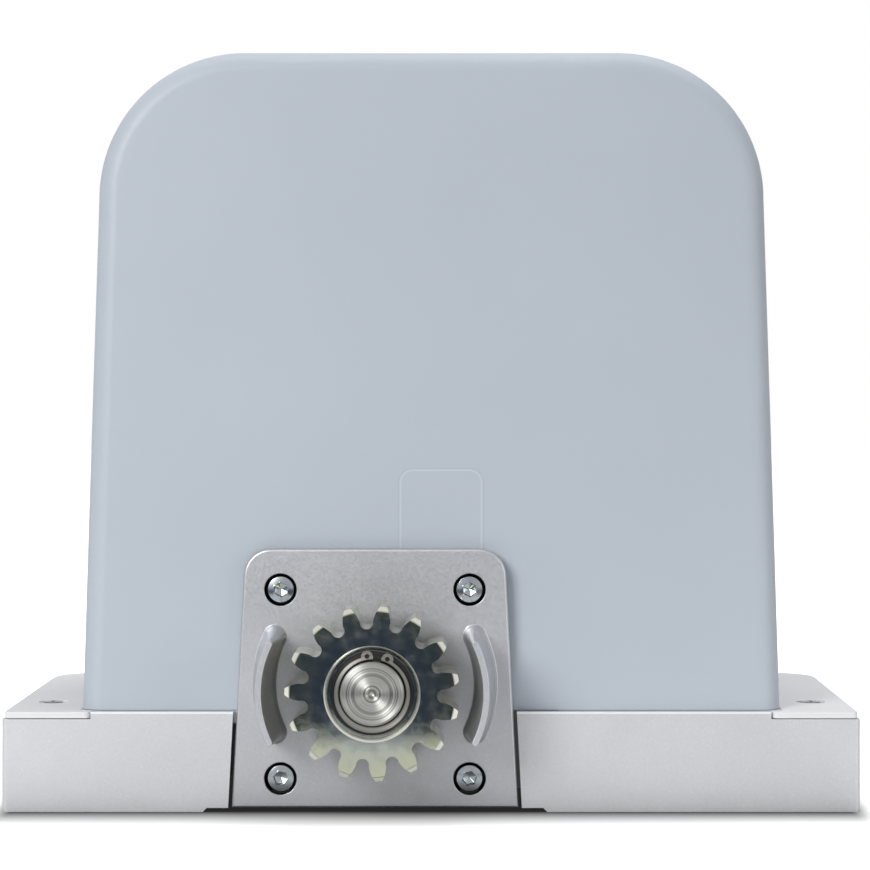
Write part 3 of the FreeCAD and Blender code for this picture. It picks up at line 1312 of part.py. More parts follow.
# ---------------------------------------------------------------------------------------------
# Release lever
# ---------------------------------------------------------------------------------------------
def release_cam():
    """Cam whose face is an involute, so the flat rod head moves evenly with the lever's angle.

    A flat follower rides at the distance h(a) from the spindle, with the face point
    h(a) * n(a) + h'(a) * t(a). Here h falls evenly from the lobe to the rest face.
    """
    rate = float(size.clutch_stroke) / math.radians(size.lever_turn)
    rest = float(size.cam_rest_height)

    def face_point(turn):
        angle = -math.pi / 2 - turn
        lift = rest + rate * turn
        along = Vector(math.cos(angle), math.sin(angle), 0)
        across = Vector(-math.sin(angle), math.cos(angle), 0)
        return along * lift - across * rate
    last = math.radians(size.lever_turn)
    margin = 0.1
    turns = [last * (1 + 2 * margin) * step / 10 - last * margin for step in range(11)]
    points = [face_point(turn) for turn in turns]
    face = Part.BSplineCurve()
    face.interpolate(points)
    hub = float(size.lever_spindle_radius) + 1.5
    lobe = points[-1]
    edges = [face.toShape(), Part.makeLine(lobe, Vector(lobe.x * 0.75, hub * 0.8, 0)),
             Part.makeLine(Vector(lobe.x * 0.75, hub * 0.8, 0), Vector(0, hub * 0.8, 0)),
             Part.makeLine(Vector(0, hub * 0.8, 0), points[0])]
    outline = Part.Face(Part.Wire(edges))
    thick = float(size.cam_thickness)
    solid = outline.extrude(Vector(0, 0, thick)).fuse(Part.makeCylinder(hub, thick))
    solid = solid.cut(Part.makeCylinder(float(size.lever_spindle_radius), thick))
    cam = doc.addObject("Part::Feature", "ReleaseCam")
    cam.Shape = solid.removeSplitter()
    place(cam, size.shaft_x, lever_y, size.shaft_z - size.cam_thickness / 2)
    return keep(cam, "release_cam")


def release_spindle():
    """Upright spindle that joins the lever to the cam."""
    low = Size(3.2)
    top = size.shaft_z + size.cam_thickness / 2 + 2
    pin = primitive("Cylinder", "ReleaseSpindle", (size.shaft_x, lever_y, low),
                    Radius=size.lever_spindle_radius, Height=top - low)
    return keep(pin, "release_spindle")


def release_lever():
    """Lever that closes flush with the courtyard skirt and swings out about the upright spindle."""
    body = new_body("ReleaseLever")
    x, y = size.shaft_x, lever_y
    back = lever_face_y - size.lever_thickness
    prism(body, "Pad", "XY_Plane", size.lever_low, size.lever_high,
          lambda s: circle(s, x, y, lever_hub_radius))
    prism(body, "Pad", "XY_Plane", size.lever_low, size.lever_high,
          lambda s: rectangle(s, x, back, x + size.lever_length, lever_face_y))
    prism(body, "Pocket", "XY_Plane", size.lever_low, size.lever_high,
          lambda s: circle(s, x, y, size.lever_spindle_radius))
    end = x + size.lever_length
    prism(body, "Pad", "XY_Plane", size.lever_low + 3, size.lever_high - 3,
          lambda s: polygon(s, [(end - 8, lever_face_y - 0.5), (end - 1, lever_face_y - 0.5),
                                (end - 1.5, lever_face_y + 3), (end - 4, lever_face_y + 3)]))
    prism(body, "Pocket", "XZ_Plane", back - 1, lever_face_y + 1,
          lambda s: circle(s, lock_x, size.lock_z, size.lock_radius))
    return keep(body, "release_lever")


def lock_barrel():
    """Fixed barrel of the key lock in the lever."""
    low = lever_face_y - size.lever_thickness
    body = new_body("LockBarrel", lock_x, 0, size.lock_z)
    plug = size.lock_radius * 2 / 3 + size.running_fit
    turned(body, "Y", [(low, plug), (lever_face_y + 1, plug), (lever_face_y + 1, size.lock_radius + 1.2),
                       (lever_face_y, size.lock_radius + 1.2), (lever_face_y, size.lock_radius),
                       (low, size.lock_radius)])
    return keep(body, "lock_barrel")


def lock_plug():
    """Turning plug with a key slot, and the tongue that catches behind the strike of the base."""
    low = lever_face_y - size.lever_thickness - 2.4
    radius = size.lock_radius * 2 / 3
    body = new_body("LockPlug", lock_x, 0, size.lock_z)
    prism(body, "Pad", "XZ_Plane", low, lever_face_y + 1, lambda s: circle(s, 0, 0, radius))
    prism(body, "Pad", "XZ_Plane", low, low + 2, lambda s: rectangle(s, -15, -4, -radius / 2, 4))
    prism(body, "Pocket", "XZ_Plane", lever_face_y - 5, lever_face_y + 1,
          lambda s: rectangle(s, -0.9, -3.8, 0.9, 3.8))
    return keep(body, "lock_plug")


# ---------------------------------------------------------------------------------------------
# Motor
# ---------------------------------------------------------------------------------------------
def motor_flange():
    """Cast flange that bolts the motor to the gearbox and closes the worm bore."""
    body = new_body("MotorFlange", worm_x, size.wheel_y, 0)
    low, high = size.body_top, flange_top
    shaft_hole = size.spindle_radius + 1
    spigot = size.tunnel_radius - 0.05
    inside = size.motor_radius - size.motor_wall - 0.1
    turned(body, "Z", [(shaft_hole, low - 4), (spigot, low - 4), (spigot, low),
                       (size.motor_flange_radius, low), (size.motor_flange_radius, high), (inside, high),
                       (inside, high + 4), (inside - 6, high + 4),
                       (inside - 6, high - 2), (shaft_hole, high - 2)])
    reach = (size.motor_flange_radius + size.motor_radius) / 2 * math.sqrt(0.5)
    places = [(side * reach, end * reach) for side in (-1, 1) for end in (-1, 1)]
    prism(body, "Pocket", "XY_Plane", low, high, lambda s: [circle(s, *at, 3.1) for at in places])
    return keep(body, "motor_flange")


def motor_flange_screws():
    """Four screws of the motor flange."""
    body = new_body("MotorScrews")
    prism(body, "Pad", "XY_Plane", flange_top, flange_top + 6,
          lambda s: [circle(s, *at, 4.4) for at in motor_screw_places()])
    prism(body, "Pocket", "XY_Plane", flange_top + 3, flange_top + 6,
          lambda s: [hexagon(s, *at, 5) for at in motor_screw_places()])
    prism(body, "Pad", "XY_Plane", size.body_top - 9, flange_top,
          lambda s: [circle(s, *at, 3) for at in motor_screw_places()])
    return keep(body, "motor_flange_screws")


def motor_shell():
    """Round steel shell of the motor."""
    body = ring("MotorShell", size.motor_radius - size.motor_wall, size.motor_radius, flange_top, shell_top,
                worm_x, size.wheel_y, 0, "Z")
    return keep(body, "motor_shell")


def motor_end_bell():
    """End bell that closes the shell and seats the top bearing."""
    body = new_body("EndBell", worm_x, size.wheel_y, 0)
    inside = size.motor_radius - size.motor_wall - 0.1
    seat = size.tunnel_radius
    bearing_top = shell_top + size.worm_bearing_width
    turned(body, "Z", [(seat, shell_top), (seat, bearing_top), (0, bearing_top), (0, bearing_top + 4),
                       (seat + 4, bearing_top + 4), (seat + 4, shell_top + 4),
                       (size.motor_radius, shell_top + 4), (size.motor_radius, shell_top),
                       (inside, shell_top), (inside, shell_top - 5),
                       (inside - 4, shell_top - 5), (inside - 4, shell_top)])
    return keep(body, "motor_end_bell")


def stator():
    """Stator laminations and the two winding heads."""
    inner = size.rotor_radius + size.air_gap
    outer = size.motor_radius - size.motor_wall
    high = stator_low + size.stator_height
    core = ring("StatorCore", inner, outer, stator_low, high, worm_x, size.wheel_y, 0, "Z")
    keep(core, "stator_core")
    windings = new_body("Windings", worm_x, size.wheel_y, 0)
    for low, top in ((stator_low - 13, stator_low), (high, high + 13)):
        turned(windings, "Z", [(inner + 3, low), (outer - 3, low), (outer - 3, top), (inner + 3, top)])
    keep(windings, "stator_windings")


def rotor_core():
    """Rotor laminations with their end rings, pressed on the spindle."""
    high = stator_low + size.stator_height
    body = new_body("RotorCore", worm_x, size.wheel_y, 0)
    radius = size.rotor_radius
    turned(body, "Z", [(size.spindle_radius, stator_low), (radius - 8, stator_low),
                       (radius - 8, stator_low - 5), (radius, stator_low - 5), (radius, high + 5),
                       (radius - 8, high + 5), (radius - 8, high), (size.spindle_radius, high)])
    return keep(body, "rotor_core")


# ---------------------------------------------------------------------------------------------
# Electrics under the cover
# ---------------------------------------------------------------------------------------------
def transformer():
    """Laminated transformer core on its feet, and the coil through its windows."""
    x, y = size.transformer_x, size.transformer_y
    half_x, half_y = size.transformer_width / 2, size.transformer_stack / 2
    low, high = size.base_height, size.base_height + size.transformer_height
    limb = size.transformer_width / 6
    core = new_body("TransformerCore")
    prism(core, "Pad", "XZ_Plane", y - half_y, y + half_y,
          lambda s: rectangle(s, x - half_x, low, x + half_x, high))

    def windows(sketch):
        rectangle(sketch, x - half_x + limb, low + limb, x - limb, high - limb)
        rectangle(sketch, x + limb, low + limb, x + half_x - limb, high - limb)
    prism(core, "Pocket", "XZ_Plane", y - half_y, y + half_y, windows)
    keep(core, "transformer_core")
    coil = new_body("TransformerCoil")
    room = 0.3
    prism(coil, "Pad", "XY_Plane", low + limb + room, high - limb - room,
          lambda s: rectangle(s, x - half_x + limb + room, y - half_y - 8,
                              x + half_x - limb - room, y + half_y + 8))
    prism(coil, "Pocket", "XY_Plane", low + limb + room, high - limb - room,
          lambda s: rectangle(s, x - limb, y - half_y, x + limb, y + half_y))
    round_edges(coil, 4, lambda e: upright(e) and abs(e.Vertexes[0].Y - y) > half_y + 7)
    keep(coil, "transformer_coil")


def board_bracket():
    """Bent sheet bracket that stands on the deck and carries the control board."""
    body = new_body("BoardBracket")
    y = size.bracket_y
    sheet_y = y + size.sheet_thickness
    left, right = size.bracket_left, size.bracket_right
    low = size.base_height

    def upright_sheet(sketch):
        gap_left, gap_right = size.shaft_x - 22, size.shaft_x + 22
        gap_top = size.shaft_z + 28
        polygon(sketch, [(left, low), (gap_left, low), (gap_left, gap_top), (gap_right, gap_top),
                         (gap_right, low), (right, low), (right, size.bracket_top),
                         (left, size.bracket_top)])
    prism(body, "Pad", "XZ_Plane", y, sheet_y, upright_sheet)

    def feet(sketch):
        rectangle(sketch, left, sheet_y - 0.5, size.shaft_x - 22, sheet_y + 12)
        rectangle(sketch, size.shaft_x + 22, sheet_y - 0.5, right, sheet_y + 12)
    prism(body, "Pad", "XY_Plane", low, low + size.sheet_thickness, feet)
    prism(body, "Pocket", "XZ_Plane", y, sheet_y,
          lambda s: rectangle(s, left + 14, size.board_low + 16, right - 14, size.board_high - 16))
    return keep(body, "board_bracket")


def board_posts():
    """Where the control board is fastened, along and up."""
    return [(x, z) for x in (size.bracket_left + 7, size.bracket_right - 7)
            for z in (size.board_low + 7, size.board_high - 7)]


def board_standoffs():
    """Hexagon standoffs between the bracket and the board."""
    body = new_body("BoardStandoffs")
    low = size.bracket_y + size.sheet_thickness
    prism(body, "Pad", "XZ_Plane", low, low + size.standoff_length,
          lambda s: [hexagon(s, *at, 6) for at in board_posts()])
    return keep(body, "board_standoffs")


def control_board():
    """Printed circuit board."""
    body = new_body("ControlBoard")
    low = size.bracket_y + size.sheet_thickness + size.standoff_length
    prism(body, "Pad", "XZ_Plane", low, low + size.board_thickness,
          lambda s: rectangle(s, size.board_left, size.board_low, size.board_right, size.board_high))
    return keep(body, "control_board")


def board_parts():
    """Terminal blocks along the foot of the board, and the relays above them."""
    face = size.bracket_y + size.sheet_thickness + size.standoff_length + size.board_thickness
    left, low = size.board_left + 8, size.board_low + 4
    blocks = new_body("TerminalBlocks")
    pitch = size.terminal_pitch

    def row(sketch, count, up, width, height):
        for index in range(count):
            near = left + pitch * index
            rectangle(sketch, near, low + up, near + width, low + up + height)
    prism(blocks, "Pad", "XZ_Plane", face, face + size.terminal_depth,
          lambda s: row(s, 4, 0, size.terminal_width, size.terminal_height))
    keep(blocks, "terminal_blocks")
    relays = new_body("Relays")
    prism(relays, "Pad", "XZ_Plane", face, face + size.relay_depth,
          lambda s: row(s, 3, size.relay_rise, size.relay_width, size.relay_height))
    keep(relays, "relays")


def capacitor():
    """Run capacitor, and the sheet clamp that holds it on the deck."""
    x, y = size.capacitor_x, size.capacitor_y
    low = size.base_height
    body = new_body("Capacitor", x, y, 0)
    radius = size.capacitor_radius
    high = low + size.capacitor_height
    turned(body, "Z", [(0, low), (radius - 1, low), (radius, low + 1), (radius, high - 2),
                       (radius - 2, high), (0, high)])
    keep(body, "run_capacitor")
    band_low = low + size.clamp_low
    band_high = band_low + size.clamp_band
    leg_x = x - size.clamp_leg_width / 2
    clamp = ring("ClampBand", radius, radius + size.sheet_thickness, band_low, band_high, x, y, 0, "Z")
    leg = primitive("Box", "ClampLeg", (leg_x, y + radius, low), Length=size.clamp_leg_width,
                    Width=size.sheet_thickness, Height=band_high - low)
    foot = primitive("Box", "ClampFoot", (leg_x, y + radius, low), Length=size.clamp_leg_width,
                     Width=size.clamp_foot, Height=size.sheet_thickness)
    return keep(combined("MultiFuse", "CapacitorClamp", clamp, leg, foot), "capacitor_clamp")


def limit_sensor():
    """Flat magnetic sensor that stands on the gearbox, right behind the cover's front."""
    body = new_body("LimitSensor")
    low = size.body_top - 6
    front = body_front_y + 0.5
    left = size.panel_left + 1
    prism(body, "Pad", "XY_Plane", low, size.panel_top - 3,
          lambda s: rectangle(s, left, front, left + size.sensor_width, front + size.sensor_thickness))
    round_edges(body, 2, lambda e: along_y(e) and e.Vertexes[0].Z > low + 1)
    return keep(body, "limit_sensor")


def cable_grommet():
    """Rubber grommet of the cable entry in the deck."""
    body = new_body("CableGrommet", cable_x, cable_y, 0)
    low, high = deck_low, size.base_height
    hole, bore = size.cable_hole_radius, size.grommet_bore_radius
    turned(body, "Z", [(bore, low - 2.5), (hole + 3, low - 2.5), (hole + 3, low), (hole, low), (hole, high),
                       (hole + 3, high), (hole + 3, high + 2.5), (bore, high + 2.5)])
    return keep(body, "cable_grommet")


# ---------------------------------------------------------------------------------------------
# The whole motor
# ---------------------------------------------------------------------------------------------
def build_everything():
    """Makes every sub-part."""
    base_casting()
    ear_cap(-1, "left_ear_cap")
    ear_cap(1, "right_ear_cap")
    ear_cap_screws()
    cover()
    cover_screws()
    gearbox_front_plate()
    plate_screws()
    front_gasket()
    gearbox_body()
    gearbox_foot_screws()
    gearbox_rear_cover()
    rear_cover_screws()
    shaft_oil_seal()
    bearing_set("OutputBearing", "Y", size.shaft_x, 0, size.shaft_z,
                (front_bearing_y, size.rear_bearing_y),
                size.shaft_radius, size.bearing_radius, size.bearing_width,
                ("output_bearing_outer_rings", "output_bearing_inner_rings"))
    worm_bearings = (worm_bearing_low, size.body_top - 4 - size.worm_bearing_width, shell_top)
    bearing_set("WormBearing", "Z", worm_x, size.wheel_y, 0, worm_bearings, size.spindle_radius,
                size.tunnel_radius, size.worm_bearing_width,
                ("worm_bearing_outer_rings", "worm_bearing_inner_rings"))
    output_shaft()
    drive_pinion()
    pinion_key()
    retaining_washer()
    pinion_circlip()
    worm_wheel()
    wheel_spacer()
    clutch_ring()
    clutch_cross_pin()
    clutch_springs()
    release_rod()
    release_cam()
    release_spindle()
    release_lever()
    lock_barrel()
    lock_plug()
    worm_shaft()
    rotor_core()
    motor_flange()
    motor_flange_screws()
    motor_shell()
    motor_end_bell()
    stator()
    transformer()
    board_bracket()
    board_standoffs()
    control_board()
    board_parts()
    capacitor()
    limit_sensor()
    cable_grommet()


def check_everything():
    """Stops before anything is written if an object failed or a sub-part has no sound shape."""
    doc.recompute()
    failed = [item.Label for item in doc.Objects if "Invalid" in item.State or "Error" in item.State]
    if failed:
        raise RuntimeError(f"failed objects: {failed}")
    unsound = [item.Label for item in sub_parts if item.Shape.isNull() or not item.Shape.isValid()]
    if unsound:
        raise RuntimeError(f"unsound sub-parts: {unsound}")


build_everything()
check_everything()
os.makedirs("parts", exist_ok=True)
for item in sub_parts:
    item.Shape.exportStep(f"parts/{item.Label}.step")
print(f"{len(sub_parts)} sub-parts written")
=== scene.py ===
# %% [markdown]
# # A sliding gate motor
# This notebook dresses the solid parts of a gate motor: a cast base, a moulded cover, and a toothed pinion
# between two cast guards. The solids give every size. Here they get smooth edges, finishes and light.
# Everything is in metres. +Z is up, -Y faces the gate, and X runs along it.

# %% Load the solid parts
import json
import math

import bmesh
import bpy
import numpy as np
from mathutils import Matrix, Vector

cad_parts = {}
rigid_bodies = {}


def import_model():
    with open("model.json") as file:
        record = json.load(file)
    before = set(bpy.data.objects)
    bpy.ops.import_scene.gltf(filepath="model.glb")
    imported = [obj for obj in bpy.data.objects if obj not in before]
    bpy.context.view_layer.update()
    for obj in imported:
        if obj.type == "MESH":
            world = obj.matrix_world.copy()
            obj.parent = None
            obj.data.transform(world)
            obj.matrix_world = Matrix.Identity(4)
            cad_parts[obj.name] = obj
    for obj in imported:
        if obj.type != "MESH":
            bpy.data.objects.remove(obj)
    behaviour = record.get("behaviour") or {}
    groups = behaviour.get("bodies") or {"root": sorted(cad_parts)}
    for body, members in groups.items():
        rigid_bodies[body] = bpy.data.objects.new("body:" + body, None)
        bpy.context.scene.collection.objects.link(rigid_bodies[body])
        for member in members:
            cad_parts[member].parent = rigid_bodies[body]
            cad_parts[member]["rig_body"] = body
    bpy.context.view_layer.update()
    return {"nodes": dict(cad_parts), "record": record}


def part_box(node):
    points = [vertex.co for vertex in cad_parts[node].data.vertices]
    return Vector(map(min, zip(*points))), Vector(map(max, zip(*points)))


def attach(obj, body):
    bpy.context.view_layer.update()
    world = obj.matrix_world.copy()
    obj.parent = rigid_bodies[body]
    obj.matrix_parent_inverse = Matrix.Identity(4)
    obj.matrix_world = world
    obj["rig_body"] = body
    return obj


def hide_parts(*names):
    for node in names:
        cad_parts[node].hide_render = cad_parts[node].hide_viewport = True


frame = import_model()
nodes = frame["nodes"]
MM = 0.001

# %% [markdown]
# ## Camera
# A long lens from a little over a metre gives the calm view of a product picture. The camera looks level, so
# uprights stay upright, and a small shift frames the motor instead of a tilt.

# %% Camera
LENS_MM, SENSOR_MM = 123.1, 36
EYE_X, EYE_HEIGHT, EYE_DISTANCE = 0.0124, 0.1672, 1.190
SHIFT_X, SHIFT_Y = -0.0310, -0.0471

base_low, base_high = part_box("base_casting")
camera_data = bpy.data.cameras.new("camera")
camera_data.lens = LENS_MM
camera_data.sensor_width = SENSOR_MM
camera_data.shift_x = SHIFT_X
camera_data.shift_y = SHIFT_Y
camera = bpy.data.objects.new("camera", camera_data)
camera.location = (EYE_X, base_low.y - EYE_DISTANCE, EYE_HEIGHT)
camera.rotation_euler = (math.pi / 2, 0, 0)
bpy.context.scene.collection.objects.link(camera)
bpy.context.scene.camera = camera
bpy.context.scene.view_settings.view_transform = "Standard"
print("camera at", [round(v, 4) for v in camera.location])

# %% [markdown]
# ## Colours and shader nodes
# Colours are written as they look on a screen, and one function turns them to linear light. Another adds a node,
# sets it and links it. The small ones after it each make one kind of node, so that a whole finish reads as a
# short list. Steps and bands have soft edges, because no stain and no rubbed edge ends at a hard line.

# %% Helpers for finishes


def colour(text):
    """A hex colour turned to linear light: c / 12.92 in the darks, ((c + 0.055) / 1.055) ^ 2.4 above them."""
    channels = np.array([int(text[i:i + 2], 16) for i in (1, 3, 5)]) / 255
    linear = np.where(channels <= 0.04045, channels / 12.92, ((channels + 0.055) / 1.055) ** 2.4)
    return (*linear.tolist(), 1.0)


def add(tree, kind, inputs=None, **settings):
    """Adds a node, sets its settings, and gives each input a value or a link."""
    item = tree.nodes.new("ShaderNode" + kind)
    for name, value in settings.items():
        setattr(item, name, value)
    for key, value in (inputs or {}).items():
        if isinstance(value, bpy.types.NodeSocket):
            tree.links.new(value, item.inputs[key])
        else:
            item.inputs[key].default_value = value
    return item


def maths(tree, operation, *values, **settings):
    """The result of one maths node."""
    return add(tree, "Math", dict(enumerate(values)), operation=operation, **settings).outputs[0]


def vectors(tree, operation, *values):
    """The result of one vector maths node: a vector, or a plain value for LENGTH."""
    item = add(tree, "VectorMath", dict(enumerate(values)), operation=operation)
    return item.outputs["Value" if operation == "LENGTH" else "Vector"]


def own_place(tree):
    """The place of a point on the part's own coordinates."""
    return add(tree, "TexCoord").outputs["Object"]


def own_axes(tree):
    """The same place as three plain values: X, Y and Z."""
    return add(tree, "SeparateXYZ", {0: own_place(tree)}).outputs


def finish(name, base, roughness, metallic=0.0, ior=1.5, **extra):
    """A new material with its main shader set. Returns the material, its tree and the shader."""
    material = bpy.data.materials.new(name)
    material.use_nodes = True
    tree = material.node_tree
    shader = tree.nodes["Principled BSDF"]
    shader.inputs["Base Color"].default_value = colour(base)
    shader.inputs["Roughness"].default_value = roughness
    shader.inputs["Metallic"].default_value = metallic
    shader.inputs["IOR"].default_value = ior
    for key, value in extra.items():
        shader.inputs[key.replace("_", " ")].default_value = value
    return material, tree, shader


def grain(tree, size_mm, detail=2.0):
    """Noise from 0 to 1 whose grains are size_mm across."""
    return add(tree, "TexNoise", {"Vector": own_place(tree), "Scale": 1 / (size_mm * MM), "Detail": detail},
               normalize=True).outputs["Fac"]


def tint(tree, factor, dark, light):
    """A colour between two, by a factor. Each is a hex colour or a link."""
    ends = [colour(end) if isinstance(end, str) else end for end in (dark, light)]
    return add(tree, "Mix", {0: factor, 6: ends[0], 7: ends[1]}, data_type="RGBA").outputs[2]


def paint_over(tree, shader, factor, text):
    """Lays a hex colour over what already drives the shader's colour, by a factor."""
    under = shader.inputs["Base Color"].links[0].from_socket
    tree.links.new(tint(tree, factor, under, text), shader.inputs["Base Color"])


def remap(tree, value, low, high, to_low=0, to_high=1):
    """A value stretched from one range to another and clamped."""
    return add(tree, "MapRange", {"Value": value, "From Min": low, "From Max": high, "To Min": to_low,
                                  "To Max": to_high}).outputs["Result"]


def above(tree, value, at, soft):
    """0 where the value is below a level and 1 above it, with a ramp of soft to each side."""
    return remap(tree, value, at - soft, at + soft, 0, 1)


def below(tree, value, at, soft):
    """1 where the value is below a level and 0 above it, with a ramp of soft to each side."""
    return remap(tree, value, at - soft, at + soft, 1, 0)


def band(tree, value, low, high, soft):
    """1 where the value lies between low and high, with soft edges, else 0."""
    return maths(tree, "MULTIPLY", above(tree, value, low, soft), below(tree, value, high, soft))


def relief(tree, shader, height, depth_mm, strength=0.5):
    """Bump of a depth in millimetres on a shader."""
    bump = add(tree, "Bump", {"Height": height, "Distance": depth_mm * MM, "Strength": strength})
    tree.links.new(bump.outputs["Normal"], shader.inputs["Normal"])


print("screen grey #808080 is", round(colour("#808080")[0], 4), "in linear light")

# %% [markdown]
# ## Silver paint on cast aluminium
# The base, the front plate and the release lever are sand-cast or die-cast, then sprayed with silver powder
# paint. Powder melts into a fine orange peel with tiny metal flakes, so the eye gets a pale grey that sparkles a
# little and has a broad, soft sheen. The flakes are drawn at 0.5 mm, coarser than real ones, so that they show.
# Four places carry painted light: the plate gets a darker copy of the paint as painted shade, painted shade lies
# in the screws' counterbores and inside the tray, and a painted highlight runs along the edge under the cover.

# %% Painted casting
FLAKE_MM, SPECK_MM, CLOUD_MM = 0.5, 0.9, 38
PEEL_MM, PEEL_DEPTH_MM = 1.3, 0.018
PART_HEAD_RADIUS = 5 * MM
SEAT_RADIUS, SEAT_DEPTH = 6.8 * MM, 0.75 * MM
DECK_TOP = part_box("left_ear_cap")[1].z
DARK_UNDER_DECK, DARK_BEHIND_FACE, WELL_WIDTH = 5 * MM, 1.2 * MM, 33.5 * MM
DARK_UP_TO_Y = -15 * MM

plate_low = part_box("gearbox_front_plate")[0]
screw_low, screw_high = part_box("plate_screws")
screw_square = (screw_high.x - screw_low.x) / 2 - PART_HEAD_RADIUS
screw_middle = ((screw_low.x + screw_high.x) / 2, (screw_low.z + screw_high.z) / 2)


def painted_casting(name, dark, light, metallic=0.35):
    """Silver powder paint: cells of flake catch the light at random, and the peel is a shallow bump.
    Returns the material, its tree and the shader."""
    material, tree, shader = finish(name, light, 0.42, metallic=metallic)
    flakes = add(tree, "TexVoronoi", {"Vector": own_place(tree), "Scale": 1 / (FLAKE_MM * MM)})
    tone = add(tree, "SeparateColor", {"Color": flakes.outputs["Color"]}).outputs["Red"]
    sparkle = remap(tree, tone, 0.95, 1.0, 0, 0.6)
    cloud = remap(tree, grain(tree, CLOUD_MM), 0.3, 0.7, -0.2, 0.2)
    speck = remap(tree, grain(tree, SPECK_MM, 3.0), 0.3, 0.7, 0.35, 0.65)
    bright = maths(tree, "ADD", maths(tree, "ADD", speck, cloud), sparkle, use_clamp=True)
    tree.links.new(tint(tree, bright, dark, light), shader.inputs["Base Color"])
    tree.links.new(remap(tree, tone, 0.0, 1.0, 0.48, 0.34), shader.inputs["Roughness"])
    relief(tree, shader, grain(tree, PEEL_MM), PEEL_DEPTH_MM)
    return material, tree, shader


def painted_seat_shade(tree, shader):
    """Painted shade: the counterbores were cut after casting, and the deep, narrow gap round each head is
    painted dark below the plate's face. Folding the coordinates about the middle of the four screws lets one
    circle stand for all of them."""
    middle = (screw_middle[0], plate_low.y, screw_middle[1])
    folded = vectors(tree, "ABSOLUTE", vectors(tree, "SUBTRACT", own_place(tree), middle))
    offset = vectors(tree, "SUBTRACT", folded, (screw_square, 0, screw_square))
    reach = vectors(tree, "LENGTH", vectors(tree, "MULTIPLY", offset, (1, 0, 1)))
    near = below(tree, reach, SEAT_RADIUS, 0.1 * MM)
    deep = above(tree, own_axes(tree)["Y"], base_low.y + SEAT_DEPTH, 0.45 * MM)
    paint_over(tree, shader, maths(tree, "MULTIPLY", near, deep), "#1b1c1e")


def painted_tray_shade(tree, shader):
    """Painted shade: the front half of the tray, under its deck and between its bolt wells, is raw casting out
    of the light, and is painted dark and without metal flakes from 1 mm behind the skirt's face."""
    axes = own_axes(tree)
    inside = above(tree, axes["Y"], base_low.y + DARK_BEHIND_FACE, 0.4 * MM)
    for limit in (below(tree, axes["Y"], DARK_UP_TO_Y, 5 * MM),
                  below(tree, maths(tree, "ABSOLUTE", axes["X"]), base_high.x - WELL_WIDTH, 0.5 * MM),
                  below(tree, axes["Z"], DECK_TOP - DARK_UNDER_DECK, 0.4 * MM)):
        inside = maths(tree, "MULTIPLY", inside, limit)
    # Painted shade: near black inside the tray, and no metal flakes there.
    paint_over(tree, shader, inside, "#101012")
    metallic = shader.inputs["Metallic"].default_value
    tree.links.new(maths(tree, "MULTIPLY_ADD", inside, -metallic, metallic), shader.inputs["Metallic"])


def painted_edge_highlight(tree, shader):
    """Painted highlight: the top front edge of the casting is painted near white, which draws a fine bright line
    under the cover.
    """
    axes = own_axes(tree)
    high = band(tree, axes["Z"], DECK_TOP - 0.75 * MM, DECK_TOP + 1 * MM, 0.1 * MM)
    near = below(tree, axes["Y"], base_low.y + 0.7 * MM, 0.2 * MM)
    paint_over(tree, shader, maths(tree, "MULTIPLY", high, near), "#fafafb")


base_paint, base_tree, base_shader = painted_casting("silver powder paint on cast aluminium",
                                                     "#cecfd2", "#dedfe2")
# A painted highlight along the casting's top front edge, then painted shade inside the tray.
painted_edge_highlight(base_tree, base_shader)
painted_tray_shade(base_tree, base_shader)
# Painted shade: the plate's paint is a darker copy of the base's, standing for the shade the pinion and guards
# throw on it; it is also more metallic.
shaded_plate_paint, plate_tree, plate_shader = painted_casting("silver powder paint on the gearbox plate in painted shade",
                                                        "#b9bbbf", "#cccdd1", 0.8)
# Painted shade in the counterbores round the plate's four screws.
painted_seat_shade(plate_tree, plate_shader)
print("painted castings ready; plate screws on a square of", round(2000 * screw_square, 1), "mm")

# %% [markdown]
# ## Moulded plastic
# The cover is a big injection moulding in pale blue-grey ABS. Its mould was spark-eroded, which leaves a fine
# satin grain about half a millimetre across. Plastic is no metal, has an IOR near 1.53, and its sheen is a
# little uneven where the melt cooled at different speeds. The ear caps are the same kind of moulding in
# near-white grey.

# %% Moulded plastics
PLASTIC_IOR = 1.53
MELT_CLOUD_MM = 90


def moulded_plastic(name, dark, light, roughness, grain_mm=0.45, depth_mm=0.012):
    """Satin moulded plastic with spark-eroded grain and a faint cloud in its colour and sheen."""
    material, tree, shader = finish(name, light, roughness, ior=PLASTIC_IOR)
    cloud = grain(tree, MELT_CLOUD_MM)
    tree.links.new(tint(tree, remap(tree, cloud, 0.25, 0.75), dark, light), shader.inputs["Base Color"])
    tree.links.new(remap(tree, cloud, 0.3, 0.7, roughness + 0.03, roughness - 0.03),
                   shader.inputs["Roughness"])
    relief(tree, shader, grain(tree, grain_mm, 1.0), depth_mm)
    return material


cover_plastic = moulded_plastic("satin pale blue-grey ABS", "#b7bfc8", "#bbc3cd", 0.48)
cap_plastic = moulded_plastic("satin light grey ABS", "#e6e7e9", "#ecedef", 0.45)
black_plastic = moulded_plastic("black glass-filled nylon", "#101012", "#17181a", 0.5)
terminal_plastic = moulded_plastic("green terminal block nylon", "#1d6b38", "#24783f", 0.45)
relay_plastic = moulded_plastic("black relay case", "#0c0e14", "#12151d", 0.3)
can_plastic = moulded_plastic("white capacitor can", "#cfcfca", "#d8d8d3", 0.4)
print("plastics ready")

